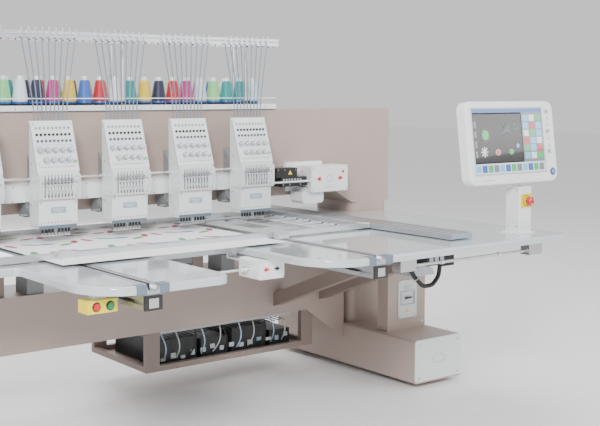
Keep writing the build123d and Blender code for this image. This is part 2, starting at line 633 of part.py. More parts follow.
def needle_cases():
    """Needle cases: frame, leaning housing, guide block and lever pin of each head."""
    half = CASE_WIDTH / 2
    front = CASE_FRONT_Y + CASE_STEP
    room_y = (CASE_FRONT_Y + 7, NEEDLE_Y + 26)

    def make(x):
        low = block((x - half, x + half), (front, CASE_BACK_Y), (BASE_Z[1], TAKE_UP_Z[0]))
        mid = block((x - half, x + half), (CASE_FRONT_Y, CASE_BACK_Y), TAKE_UP_Z)
        room_half = NEEDLE_X[-1] + 7
        body = low + mid
        body -= block((x - room_half, x + room_half), room_y, (TAKE_UP_Z[0], TAKE_UP_Z[1] - 6))
        body -= block((x - room_half, x + room_half), (front - 1, room_y[1]), (BASE_Z[1] - 1, TAKE_UP_Z[0]))
        for nx in NEEDLE_X:
            body -= block((x + nx - LEVER_SLOT / 2, x + nx + LEVER_SLOT / 2), (CASE_FRONT_Y - 1, CASE_FRONT_Y + 8),
                          (TAKE_UP_Z[0] + 9, TAKE_UP_Z[1] - 6))
        guide_z = (BASE_Z[1] + 70, BASE_Z[1] + 82)
        guide = block((x - room_half, x + room_half), (NEEDLE_Y - 7, room_y[1]), guide_z)
        base = block((x - half + 4, x + half - 4), (front, CASE_BACK_Y), BASE_Z)
        base -= block((x - room_half, x + room_half), (NEEDLE_Y - 16, NEEDLE_Y + 9), (BASE_Z[0] - 1, BASE_Z[1] + 1))
        for nx in NEEDLE_X:
            guide -= rod_z(x + nx, NEEDLE_Y, (guide_z[0] - 1, guide_z[1] + 1), BAR_R + FIT)
        pin = rod_x((x - room_half, x + room_half), *LEVER_PIVOT, LEVER_PIN_R)
        housing = profile_x(upper_profile(front, 4), (x - half, x + half))
        inner = [(front + 12, PLATE_Z[0] + 5), (front + PLATE_LEAN + 3, PLATE_Z[1] - 12),
                 (CASE_BACK_Y - 5, PLATE_Z[1] - 12), (CASE_BACK_Y - 5, PLATE_Z[0] + 5)]
        housing -= profile_x(inner, (x - half + 5, x + half - 5))
        return [body, guide, base, pin, housing] + side_plates(x)

    return along_x(make)


def side_plates(x):
    """Rounded side plates of a needle case's take-up section."""
    solids = []
    for side in (-1, 1):
        x0 = x + side * CASE_WIDTH / 2
        span = tuple(sorted((x0, x0 + side * 4)))
        plate = block(span, (CASE_FRONT_Y - 18, CASE_BACK_Y - 12), (TAKE_UP_Z[0], TAKE_UP_Z[1] - 1))
        solids.append(fillet(plate.edges().filter_by(Axis.X).group_by(Axis.Y)[0], 16))
    return solids


def tension_plates():
    """Leaning thread plates with a row of guide holes."""
    half = PLATE_WIDTH / 2

    def make(x):
        y0, z0, z1 = CASE_FRONT_Y + CASE_STEP, *PLATE_Z
        top = (z1 - z0) * PLATE_TILT
        front = y0 - PLATE_THICK
        side = [(front, z0 + 10), (front + top - 10 * PLATE_TILT, z1), (y0 + top, z1), (y0, z0), (front + 2, z0)]
        plate = profile_x(side, (x - half, x + half))
        for i in range(NEEDLES):
            plate -= on_plate(x + TUBE_PITCH * (i - (NEEDLES - 1) / 2), 0.86) * Cylinder(4, 60)
        return [plate]

    return along_x(make)


def on_plate(x, share):
    """Place on the leaning plate's front at a share of its height, with Z facing out."""
    z = PLATE_Z[0] + share * (PLATE_Z[1] - PLATE_Z[0])
    y = CASE_FRONT_Y + CASE_STEP - PLATE_THICK + (z - PLATE_Z[0] - 10) * PLATE_TILT
    return Pos(x, y, z) * Rot(90 - PLATE_ANGLE, 0, 0)


def tension_knobs():
    """Clear tension knobs, in an upper row of five and a lower row of four."""
    def make(x):
        solids = []
        for share, count, shift in ((0.44, 5, 0), (0.25, 4, 4)):
            for i in range(count):
                kx = x + KNOB_PITCH * (i - (count - 1) / 2) + shift
                solids.append(on_plate(kx, share) * Pos(0, 0, 7) * Cone(KNOB_R, KNOB_R * 0.72, 14))
        return solids
    return along_x(make)


def case_covers():
    """Front covers over the needle bars."""
    half = CASE_WIDTH / 2

    def make(x):
        y = (CASE_FRONT_Y + CASE_STEP - COVER_THICK, CASE_FRONT_Y + CASE_STEP)
        cover = block((x - half, x + half), y, (COVER_Z[0], COVER_Z[1] - 1))
        return [fillet(cover.edges().filter_by(Axis.Y), 3)]
    return along_x(make)


def needle_set(x):
    """Needle bar with its clamp and needle."""
    clamp_z = NEEDLE_TIP_Z + 29
    bar = rod_z(x, NEEDLE_Y, (clamp_z + 10, TAKE_UP_Z[1] - 18), BAR_R)
    clamp = rod_z(x, NEEDLE_Y, (clamp_z, clamp_z + 12), CLAMP_R)
    needle = rod_z(x, NEEDLE_Y, (NEEDLE_TIP_Z + 6, clamp_z + 1), 0.9)
    tip = Pos(x, NEEDLE_Y, NEEDLE_TIP_Z + 3) * Cone(0.2, 0.9, 6)
    return bar + clamp + needle + tip


def presser_foot(x):
    """Presser foot with its rod in front of the needle bar."""
    y = NEEDLE_Y - 10
    z = NEEDLE_TIP_Z - 1
    stem = rod_z(x, y, (z + 3, z + 98), 2)
    sole = rod_z(x, NEEDLE_Y, (z, z + 3), 5.5) - rod_z(x, NEEDLE_Y, (z - 1, z + 4), 2.2)
    link = block((x - 2.5, x + 2.5), (y - 2, NEEDLE_Y - 4), (z, z + 4))
    return stem + link + sole


def take_up_lever(x):
    """Take-up lever: hub on the pin and an arm out of the case's slot."""
    y, z = LEVER_PIVOT
    w = LEVER_THICK / 2
    hub = rod_x((x - w, x + w), y, z, 6.5)
    arm = profile_x([(y + 4, z + 3), (y - 26, z + 58), (y - 33, z + 58), (y - 5, z - 4)], (x - w, x + w))
    eye = rod_x((x - w, x + w), y - 30, z + 58, 5) - rod_x((x - w - 1, x + w + 1), y - 30, z + 58, 2)
    return hub + arm + eye - rod_x((x - w - 1, x + w + 1), y, z, LEVER_PIN_R + FIT)


def at_needles(make, active):
    """Copies of a needle's part at the active needle, or at all the others."""
    chosen = [nx for i, nx in enumerate(NEEDLE_X) if (i == ACTIVE) == active]
    return [make(x + nx) for x in HEAD_X for nx in chosen]


def idle_needle_sets():
    """Needle bars, presser feet and take-up levers of the needles that are not in use."""
    return at_needles(needle_set, False) + at_needles(presser_foot, False) + at_needles(take_up_lever, False)


def case_links():
    """Rods that join the needle cases, and the drive rod into the colour-change box."""
    solids = []
    for a, b in zip(HEAD_X[:-1], HEAD_X[1:]):
        solids.append(rod_x((a + CASE_WIDTH / 2 + 4, b - CASE_WIDTH / 2 - 4), CASE_BACK_Y - 22, 1062, 5))
    end = HEAD_X[-1] + CASE_WIDTH / 2 + 4
    solids.append(rod_x((end, BOX_X[0] + 100), ROD_Y, ROD_Z, ROD_R))
    return solids


# ---------------------------------------------------------------- hooks and needle plates

def needle_plates():
    """Needle plates set into the table, with a hole under the active needle."""
    def make(x):
        w, d, t = NEEDLE_PLATE
        y = (NEEDLE_Y - d / 2, NEEDLE_Y + d / 2)
        plate = block((x - w / 2, x + w / 2), y, (TABLE_TOP - t, TABLE_TOP))
        return [plate - rod_z(x, NEEDLE_Y, (TABLE_TOP - t - 1, TABLE_TOP + 1), 3)]
    return along_x(make)


def hook_bases():
    """Castings on the lower beam that carry the hooks under the needle plates."""
    def make(x):
        y0, y1, half = HOOK_BASE_Y, LOWER_BEAM_FRONT_Y, HOOK_BASE_HALF
        top, plate = TABLE_UNDER - 6, TABLE_TOP - NEEDLE_PLATE[2]
        side = [(y0, HOOK_BASE_Z), (y1 + 10, HOOK_BASE_Z), (y1 + 10, LOWER_BEAM_Z[1]),
                (y1 + 120, LOWER_BEAM_Z[1]), (y1 + 120, HOOK_BASE_Z + 10), (y1 + 40, top), (y0, top)]
        base = profile_x(side, (x - half, x + half))
        base -= rod_x((x - half - 2, x + half + 2), HOOK_SHAFT_Y, HOOK_SHAFT_Z, SHAFT_R + FIT)
        lug = block((x - half, x + half), (y0, y0 + 32), (top, plate))
        front_y = NEEDLE_Y - NEEDLE_PLATE[1] / 2 + 7
        low = HOOK_Z - HOOK_R - 1
        front = block((x - half + 4, x + half - 4), (front_y, front_y + 12), (low, plate))
        sides = [block((x + s * (half - 2) - 2, x + s * (half - 2) + 2), (front_y, y0), (low, low + 30))
                 for s in (-1, 1)]
        return [base + lug, front, bobbin_case(x)] + sides
    return along_x(make)


def hook_shaft():
    """Lower shaft through the hook bases."""
    return [rod_x((HEAD_X[0] - 120, HEAD_X[-1] + 120), HOOK_SHAFT_Y, HOOK_SHAFT_Z, SHAFT_R)]


def rotary_hook(x):
    """Rotary hook: open cup with a gap in its rim."""
    cup = rod_y(x, HOOK_Y, HOOK_Z, HOOK_R) - rod_y(x, (HOOK_Y[0] - 1, HOOK_Y[1] - 5), HOOK_Z, HOOK_R - 3)
    cup -= block((x - 6, x + 8), (HOOK_Y[0] - 1, HOOK_Y[0] + 10), (HOOK_Z + 10, HOOK_Z + 30))
    return [cup + rod_y(x, (HOOK_Y[1], HOOK_BASE_Y - GAP), HOOK_Z, 6)]


def bobbin_case(x):
    """Bobbin case inside a hook, held still by a finger under the needle plate."""
    case = rod_y(x, (HOOK_Y[0] - 4, HOOK_Y[1] - 7), HOOK_Z, HOOK_R - 5)
    top = TABLE_TOP - NEEDLE_PLATE[2]
    return case + block((x - 4, x + 4), (HOOK_Y[0] - 10, HOOK_Y[0] - 4), (HOOK_Z, top))


# ---------------------------------------------------------------- thread rack

def rack_tray():
    """Cone tray on the beam, with a pin and a base for each cone."""
    tray = block((-TRAY_HALF_X, TRAY_HALF_X), TRAY_Y, TRAY_Z)
    tray -= block((-TRAY_HALF_X + SHEET, TRAY_HALF_X - SHEET), (TRAY_Y[0] + SHEET, TRAY_Y[1] - SHEET),
                  (TRAY_Z[0] + SHEET, TRAY_Z[1] + 1))
    solids = [tray]
    stand = TRAY_Z[1] + CONE_STAND
    for x, y in cone_places():
        solids.append(rod_z(x, y, (TRAY_Z[0] + SHEET, stand), CONE_R * 0.8))
        solids.append(rod_z(x, y, (stand, stand + 22), CONE_PIN_R))
    return solids


def cone_places():
    """Centre of each thread cone on the tray."""
    count = HEADS * NEEDLES
    front = count // 2 + 1
    places = []
    for row, number in zip(CONE_ROWS, (front, count - front)):
        for i in range(number):
            x = CONE_PITCH * (i - (number - 1) / 2)
            if all(abs(x - px) > CONE_R + POLE_R + 3 or abs(row - py) > CONE_R + POLE_R + 3
                   for px in POLE_X for py in POLE_Y):
                places.append((x, row))
    return places


def thread_cones():
    """Thread cones standing on their pins."""
    base = TRAY_Z[1] + CONE_STAND
    solids = []
    for x, y in cone_places():
        cone = Pos(x, y, base + CONE_H / 2) * Cone(CONE_R, CONE_R * 0.8, CONE_H)
        solids.append(cone - rod_z(x, y, (base - 1, base + CONE_H + 1), CONE_BORE_R))
    return solids


def rack_frame():
    """Pole pairs on the tray, the guide bars across their tops and the thread guides."""
    solids = []
    for x in POLE_X:
        for y in POLE_Y:
            solids.append(rod_z(x, y, (TRAY_Z[0] + SHEET, GUIDE_Z[0] - 6), POLE_R))
        solids.append(block((x - 16, x + 16), (GUIDE_Y + 8, POLE_Y[1] + 30), (GUIDE_Z[0] - 6, GUIDE_Z[0])))
    bar_x = (-GUIDE_HALF_X, GUIDE_HALF_X)
    solids.append(block(bar_x, (GUIDE_Y - 8, GUIDE_Y + 8), (GUIDE_Z[0] - 6, GUIDE_Z[1])))
    solids.append(block(bar_x, (POLE_Y[1] + 14, POLE_Y[1] + 30), (GUIDE_Z[0], GUIDE_Z[1])))
    return solids + along_x(guide_hooks)


def guide_hooks(x):
    """Thread guides of one head on the front bar, one for each needle."""
    solids = []
    y, z = GUIDE_Y - 14, GUIDE_Z[1] + 5
    for i in range(NEEDLES):
        hx = x + HOOK_PITCH * (i - (NEEDLES - 1) / 2)
        post = block((hx - 5, hx + 5), (y - 6, y + 6), (GUIDE_Z[0] + 2, GUIDE_Z[1]))
        loop = rod_x((hx - 3, hx + 3), y, z, 8) - rod_x((hx - 4, hx + 4), y, z, 4.5)
        solids.append(post + loop)
    return solids


def thread_tubes():
    """Flexible thread tubes from the guides down to the top of the tension plates."""
    top_y, top_z = GUIDE_Y - 14, GUIDE_Z[0] + 1
    low_y, low_z = CASE_FRONT_Y + PLATE_LEAN + 2, PLATE_Z[1] + 3

    def make(x):
        solids = []
        for i in range(NEEDLES):
            step = i - (NEEDLES - 1) / 2
            start = Vector(x + HOOK_PITCH * step, top_y, top_z)
            end = Vector(x + TUBE_PITCH * step, low_y, low_z)
            knee = end + Vector(0, -1, 60)
            path = FilletPolyline(start, knee, end, radius=60)
            section = Plane(start, z_dir=(knee - start)) * Circle(TUBE_R)
            solids.append(sweep(section, path=path))
        return solids
    return along_x(make)


# ---------------------------------------------------------------- colour change

def colour_change_box():
    """Sheet box beside the last head, its mounting plate and the motor cover under it."""
    box = hollow(BOX_X, BOX_Y, BOX_Z, SHEET)
    box -= rod_x((BOX_X[0] - 1, BOX_X[0] + 10), ROD_Y, ROD_Z, ROD_R + 1)
    back = block((BOX_X[0] - 60, BOX_X[1] - 60), (BOX_Y[1], BEAM_FRONT_Y), (BOX_Z[0], BOX_Z[1] + 16))
    motor = block((BOX_X[0] - 30, BOX_X[0] + 103), (BOX_Y[0] + 30, BOX_Y[1]), (BOX_Z[0] - 55, BOX_Z[0]))
    motor = fillet(motor.edges().filter_by(Axis.Y).group_by(Axis.Z)[0], 18)
    return [box, back, motor]


def colour_change_drive():
    """Position sensor and cam housing to the left of the box."""
    x = (LAST_X + 185, BOX_X[0])
    low, middle, top = BOX_Z[0] + 31, BOX_Z[0] + 75, BOX_Z[1] - 4
    upper = block((x[0], x[1] - 60), (BOX_Y[0] + 34, BOX_Y[0] + 90), (middle, top))
    lower = block((x[0] + 30, x[1]), (BOX_Y[0] + 34, BOX_Y[1]), (low, middle))
    foot = block((x[0] + 30, x[1] - 60), (BOX_Y[1] - 30, BEAM_FRONT_Y), (middle, middle + 20))
    return [upper, lower, foot]


def colour_change_handwheel():
    """Handwheel on the box's right side that turns the cam by hand."""
    z = sum(BOX_Z) / 2
    y = sum(BOX_Y) / 2
    wheel = rod_x((BOX_X[1] + GAP, BOX_X[1] + 15), y, z, HANDWHEEL_R)
    wheel += rod_x((BOX_X[1] + 15, BOX_X[1] + 26), y, z, 10)
    for i in range(6):
        wheel -= Pos(0, y, z) * Rot(i * 60, 0, 0) * rod_x((BOX_X[1], BOX_X[1] + 30), 0, HANDWHEEL_R + 3, 6)
    return [wheel]


# ---------------------------------------------------------------- control panel

def panel_column():
    """Square column on the table with a hinge bracket at its top."""
    column = block(COLUMN_X, COLUMN_Y, (TABLE_TOP, COLUMN_TOP_Z))
    column = fillet(column.edges().filter_by(Axis.Z), 5)
    wall = COLUMN_WALL
    room = block((COLUMN_X[0] + wall, COLUMN_X[1] - wall), (COLUMN_Y[0] + wall, COLUMN_Y[1] - wall),
                 (TABLE_TOP + wall, COLUMN_TOP_Z - wall))
    middle = sum(COLUMN_X) / 2
    y, z = PANEL_HINGE
    solids = [column - room]
    for side in (-1, 1):
        ear = block(tuple(sorted((middle + side * 19, middle + side * 28))), (y - 10, y + 10),
                    (COLUMN_TOP_Z, z + 12))
        solids.append(ear)
    solids.append(rod_x((middle - 19, middle + 19), y, z, PANEL_PIN_R))
    return solids


def tilted(shape):
    """Shape leaned back about the panel's hinge."""
    y, z = PANEL_HINGE
    return Pos(0, y, z) * Rot(-PANEL_LEAN, 0, 0) * Pos(0, -y, -z) * shape


def panel_housing():
    """White rounded panel housing with a screen recess and a hinge tongue behind."""
    y, z = PANEL_HINGE
    front, back, wall = PANEL_FRONT_Y, PANEL_FRONT_Y + PANEL_DEPTH, PANEL_WALL
    shell = block(PANEL_X, (front, back), PANEL_Z)
    shell = fillet(shell.edges().filter_by(Axis.Y), PANEL_CORNER_R)
    shell = fillet(shell.edges().group_by(Axis.Y)[0], PANEL_CORNER_R / 4)
    room = block((PANEL_X[0] + wall + 4, PANEL_X[1] - wall - 4), (front + wall, back - wall / 2),
                 (PANEL_Z[0] + wall + 4, PANEL_Z[1] - wall - 4))
    room = fillet(room.edges().filter_by(Axis.Y), PANEL_CORNER_R - wall - 4)
    sx, sz = SCREEN_CENTRE
    window = block((sx - SCREEN[0] / 2, sx + SCREEN[0] / 2), (front - 1, front + wall + 1),
                   (sz - SCREEN[1] / 2, sz + SCREEN[1] / 2))
    bore = rod_y(POWER_CENTRE[0], (front - 1, front + wall + 1), POWER_CENTRE[1], POWER_R + BUTTON_PLAY)
    middle = sum(COLUMN_X) / 2
    tongue = block((middle - 18, middle + 18), (back, y + 8), (z - 9, z + 12))
    tongue -= rod_x((middle - 20, middle + 20), y, z, PANEL_PIN_R + FIT)
    return [tilted(shell - room - window - bore), tilted(tongue)]


def panel_screen():
    """Display set into the housing."""
    front = PANEL_FRONT_Y
    sx, sz = SCREEN_CENTRE
    return [tilted(block((sx - SCREEN[0] / 2, sx + SCREEN[0] / 2), (front + 2, front + PANEL_WALL),
                         (sz - SCREEN[1] / 2, sz + SCREEN[1] / 2)))]


def power_button():
    """Round power button in the panel's lower right corner."""
    x, z = POWER_CENTRE
    return [tilted(rod_y(x, (PANEL_FRONT_Y - 4, PANEL_FRONT_Y + 12), z, POWER_R))]


def emergency_stop_plate():
    """Yellow plate and collar on the column's front."""
    x, y, z = sum(COLUMN_X) / 2, COLUMN_Y[0], STOP_Z
    w, h = STOP_PLATE
    plate = block((x - w / 2, x + w / 2), (y - 5, y), (z - h / 2, z + h / 2))
    plate = fillet(plate.edges().filter_by(Axis.Y), 4)
    collar = rod_y(x, (y - 12, y - 5), z, 20) - rod_y(x, (y - 13, y - 4), z, STOP_STEM_R + GAP)
    return [plate, collar]


def emergency_stop_button():
    """Red mushroom button."""
    x, y, z = sum(COLUMN_X) / 2, COLUMN_Y[0], STOP_Z
    stem = rod_y(x, (y - 19, y - 10.5), z, STOP_STEM_R)
    head = rod_y(x, (y - 34, y - 19), z, STOP_HEAD_R)
    return [stem + fillet(head.edges().group_by(Axis.Y)[0], 5)]


# ---------------------------------------------------------------- operator controls

def start_bar():
    """Sliding start and stop bar under the front of the table."""
    bar = rod_x(START_BAR_X, START_BAR_Y, START_BAR_Z, ROD_BAR_R)
    collar = rod_x((START_BOX_X[0] - 34, START_BOX_X[0] - 16), START_BAR_Y, START_BAR_Z, 12)
    return [bar + collar]


def switch_boxes():
    """Start-switch box with the bar through it, its bar bracket, and the push-button box."""
    y = (START_BAR_Y - START_BOX_DEPTH / 2, START_BAR_Y + START_BOX_DEPTH / 2)
    box = block(START_BOX_X, y, START_BOX_Z)
    box = fillet(box.edges().filter_by(Axis.Y), 9)
    hole = rod_x((START_BAR_X[0] - 50, START_BAR_X[1] + 50), START_BAR_Y, START_BAR_Z, ROD_BAR_R + GAP)
    strap_x = (START_BOX_X[0] + 40, START_BOX_X[1] - 40)
    strap_z = (START_BOX_Z[1] - 26, START_BOX_Z[1] - 20)
    strap = block(strap_x, (y[1], TABLE_RECESS_Y + 60), strap_z)
    rise = block(strap_x, (TABLE_RECESS_Y + 54, TABLE_RECESS_Y + 60), (strap_z[1], TABLE_UNDER))
    bracket = block((WING_RIGHT_X - 90, WING_RIGHT_X - 60), (START_BAR_Y - 16, START_BAR_Y + 16),
                    (START_BAR_Z - 16, TABLE_UNDER))
    yellow = block(PUSH_BOX_X, (PUSH_BOX_FRONT_Y, PUSH_BOX_FRONT_Y + PUSH_BOX_DEPTH), PUSH_BOX_Z)
    for x in PUSH_X:
        yellow -= rod_y(x, (PUSH_BOX_FRONT_Y - 1, PUSH_BOX_FRONT_Y + 24), sum(PUSH_BOX_Z) / 2, BUTTON_R + BUTTON_PLAY)
    tie = block((PUSH_BOX_X[0] + 30, PUSH_BOX_X[1] - 30), (PUSH_BOX_FRONT_Y + 20, PUSH_BOX_FRONT_Y + 50),
                (PUSH_BOX_Z[1], TABLE_UNDER))
    return [box - hole, strap + rise, bracket - hole, yellow, tie]


def push_button(x):
    """Push button standing a little out of the box."""
    return [rod_y(x, (PUSH_BOX_FRONT_Y - 7, PUSH_BOX_FRONT_Y + 16), sum(PUSH_BOX_Z) / 2, BUTTON_R)]


def front_bar():
    """Round bar behind the right table's front edge, in its two bracket blocks."""
    solids = [rod_x(FRONT_BAR_X, FRONT_BAR_Y, FRONT_BAR_Z, ROD_BAR_R)]
    for x0, x1 in ((FRONT_BAR_X[0] - 65, FRONT_BAR_X[0] + 20), (FRONT_BAR_X[1] - 20, FRONT_BAR_X[1] + 65)):
        piece = block((x0, x1), (FRONT_BAR_Y - 22, FRONT_BAR_Y + 22), (FRONT_BAR_Z - 16, TABLE_UNDER))
        solids.append(piece - rod_x(FRONT_BAR_X, FRONT_BAR_Y, FRONT_BAR_Z, ROD_BAR_R))
    return solids


def breaker_panel():
    """Cover plate on the right leg box, with a breaker behind its window."""
    y = LEG_BOX_Y[0]
    plate = block(BREAKER_X, (y - 4, y), BREAKER_Z)
    plate = fillet(plate.edges().filter_by(Axis.Y), 8)
    x = sum(BREAKER_X) / 2
    window = block((x - WINDOW[0] / 2, x + WINDOW[0] / 2), (y - 5, y + 1),
                   (WINDOW_Z - WINDOW[1] / 2, WINDOW_Z + WINDOW[1] / 2))
    breaker = block((x - WINDOW[0] / 2, x + WINDOW[0] / 2), (y - 2, y),
                    (WINDOW_Z - WINDOW[1] / 2, WINDOW_Z + WINDOW[1] / 2))
    screws = [rod_y(sx, (y - 6, y - 4), sz, 5) for sx in (BREAKER_X[0] + 16, BREAKER_X[1] - 16)
              for sz in (BREAKER_Z[0] + 14, BREAKER_Z[1] - 14)]
    return [plate - window, breaker] + screws


def breaker_toggle():
    """Main breaker's toggle."""
    x = sum(BREAKER_X) / 2
    y = LEG_BOX_Y[0] - 8
    hub = rod_x((x - 18, x + 18), y, WINDOW_Z, 5)
    lever = block((x - 18, x + 18), (y - 14, y), (WINDOW_Z + 1, WINDOW_Z + 5))
    return [hub + lever]


def cable_bundle():
    """Cable loom clipped under the right table, with its connector block."""
    r = 9.0
    x0, y, top = STRUT_X[0] - 148, -560.0, TABLE_UNDER
    block_x = (x0 + 212, x0 + 314)
    points = [(x0, y, top - r), (x0 + 62, y - 4, top - 27), (x0 + 119, y - 6, top - 82),
              (x0 + 169, y - 4, top - 144), (x0 + 220, y, top - 184), (x0 + 279, y + 4, top - 184),
              (x0 + 317, y + 4, top - 150), (x0 + 322, y + 2, top - 104)]
    path = FilletPolyline(*points, radius=[60, 70, 60, 55, 45, 45])
    loom = sweep(Plane(points[0], z_dir=path.tangent_at(0)) * Circle(r), path=path)
    body = block(block_x, (y - 30, y + 34), (top - 94, top))
    end = block((block_x[1], block_x[1] + 70), (y - 22, y + 24), (top - 104, top))
    return [loom, body, end]


NODES = {
    "upper_beam": upper_beam,
    "uprights": uprights,
    "lower_beam": lower_beam,
    "feet": feet,
    "foot_end_plates": foot_end_plates,
    "levelling_feet": levelling_feet,
    "leg_boxes": leg_boxes,
    "table_struts": table_struts,
    "lower_bay_frame": lower_bay_frame,
    "control_boxes": control_boxes,
    "table_top": table_top,
    "y_rails": y_rails,
    "y_clamps": y_clamps,
    "sash_frame": sash_frame,
    "cloth": cloth,
    "sash_clips": sash_clips,
    "x_bar": x_bar,
    "x_drive_cover": x_drive_cover,
    "head_arms": head_arms,
    "shaft_covers": shaft_covers,
    "main_shaft": main_shaft,
    "main_motor": main_motor,
    "needle_cases": needle_cases,
    "tension_plates": tension_plates,
    "tension_knobs": tension_knobs,
    "case_covers": case_covers,
    "case_links": case_links,
    "idle_needle_sets": idle_needle_sets,
    "active_needle_bars": lambda: at_needles(needle_set, True),
    "active_presser_feet": lambda: at_needles(presser_foot, True),
    "active_take_up_levers": lambda: at_needles(take_up_lever, True),
    "needle_plates": needle_plates,
    "hook_bases": hook_bases,
    "hook_shaft": hook_shaft,
    "rack_tray": rack_tray,
    "thread_cones": thread_cones,
    "rack_frame": rack_frame,
    "thread_tubes": thread_tubes,
    "colour_change_box": colour_change_box,
    "colour_change_drive": colour_change_drive,
    "colour_change_handwheel": colour_change_handwheel,
    "panel_column": panel_column,
    "panel_housing": panel_housing,
    "panel_screen": panel_screen,
    "power_button": power_button,
    "emergency_stop_plate": emergency_stop_plate,
    "emergency_stop_button": emergency_stop_button,
    "switch_boxes": switch_boxes,
    "start_bar": start_bar,
    "start_button": lambda: push_button(PUSH_X[1]),
    "stop_button": lambda: push_button(PUSH_X[0]),
    "front_bar": front_bar,
    "breaker_panel": breaker_panel,
    "breaker_toggle": breaker_toggle,
    "cable_bundle": cable_bundle,
}

os.makedirs("parts", exist_ok=True)
for name, make in NODES.items():
    export_step(Compound(children=make()), f"parts/{name}.step")
for number, x in enumerate(HEAD_X, 1):
    export_step(Compound(children=rotary_hook(x)), f"parts/rotary_hook_{number}.step")
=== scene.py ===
"""Looks of a multi-head embroidery machine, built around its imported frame. Sizes are in millimetres."""
import logging
import math
import random
from dataclasses import dataclass
from enum import Enum
from typing import Iterable, Optional, Sequence, Union

import bpy
from mathutils import Matrix, Vector


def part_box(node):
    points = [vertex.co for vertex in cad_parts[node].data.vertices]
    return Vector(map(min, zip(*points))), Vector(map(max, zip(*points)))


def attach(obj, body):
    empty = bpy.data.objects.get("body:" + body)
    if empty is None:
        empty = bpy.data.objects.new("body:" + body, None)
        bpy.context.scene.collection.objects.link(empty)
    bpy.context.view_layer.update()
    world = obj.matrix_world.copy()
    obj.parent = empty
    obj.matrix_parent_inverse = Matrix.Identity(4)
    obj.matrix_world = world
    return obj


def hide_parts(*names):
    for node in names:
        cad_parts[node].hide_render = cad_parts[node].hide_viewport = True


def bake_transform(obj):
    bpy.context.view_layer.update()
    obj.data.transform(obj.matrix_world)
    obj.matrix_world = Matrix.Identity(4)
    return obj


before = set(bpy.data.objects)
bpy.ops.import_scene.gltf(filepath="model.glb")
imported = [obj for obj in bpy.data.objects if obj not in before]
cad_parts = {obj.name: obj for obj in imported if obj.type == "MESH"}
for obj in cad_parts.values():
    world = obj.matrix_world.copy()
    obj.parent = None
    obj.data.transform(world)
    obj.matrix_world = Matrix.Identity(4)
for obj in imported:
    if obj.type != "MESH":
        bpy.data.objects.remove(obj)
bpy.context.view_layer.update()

LOG = logging.getLogger("embroidery_machine")
MM = 0.001
Point = tuple[float, float, float]
Colour = tuple[float, float, float]


# ------------------------------------------------------------------ frame

def node_box(node: str) -> tuple[Vector, Vector]:
    """Lowest and highest corner of a CAD node, in millimetres.

    Args:
        node: Name of the CAD node.

    Returns:
        The two corners.
    """
    low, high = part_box(node)
    return low / MM, high / MM


def head_places() -> list[float]:
    """X of each embroidery head, read from its rotary hook."""
    names = sorted(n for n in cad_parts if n.startswith("rotary_hook_"))
    return [sum(c.x for c in node_box(n)) / 2 for n in names]


# ------------------------------------------------------------------ shaders

class Value:
    """A number socket on which Python's operators add Math nodes."""

    def __init__(self, nodes: "Nodes", socket: bpy.types.NodeSocket) -> None:
        """Wraps a socket of a node tree."""
        self.nodes = nodes
        self.socket = socket

    def _math(self, operation: str, *others: Union["Value", float], clamp: bool = False) -> "Value":
        """Adds one Math node.

        Args:
            operation: Name of the Math node's operation.
            others: Further inputs, numbers or values.
            clamp: Whether the result stays within 0 and 1.

        Returns:
            The node's result.
        """
        node = self.nodes.add("ShaderNodeMath", {"operation": operation, "use_clamp": clamp},
                              [self, *others])
        return Value(self.nodes, node.outputs[0])

    def __add__(self, other: Union["Value", float]) -> "Value":
        """Sum."""
        return self._math("ADD", other)

    def __sub__(self, other: Union["Value", float]) -> "Value":
        """Difference."""
        return self._math("SUBTRACT", other)

    def __rsub__(self, other: float) -> "Value":
        """Difference from a number."""
        return (self * -1.0) + other

    def __mul__(self, other: Union["Value", float]) -> "Value":
        """Product."""
        return self._math("MULTIPLY", other)

    __radd__ = __add__
    __rmul__ = __mul__

    def above(self, edge: float) -> "Value":
        """1 where the value is above an edge, else 0."""
        return self._math("GREATER_THAN", edge)

    def wave(self) -> "Value":
        """Sine of the value."""
        return self._math("SINE")

    def fraction(self) -> "Value":
        """Fraction part of the value."""
        return self._math("FRACT")

    def clamp(self) -> "Value":
        """The value held between 0 and 1."""
        return self._math("ADD", 0.0, clamp=True)

    def larger(self, other: Union["Value", float]) -> "Value":
        """The larger of two values."""
        return self._math("MAXIMUM", other)


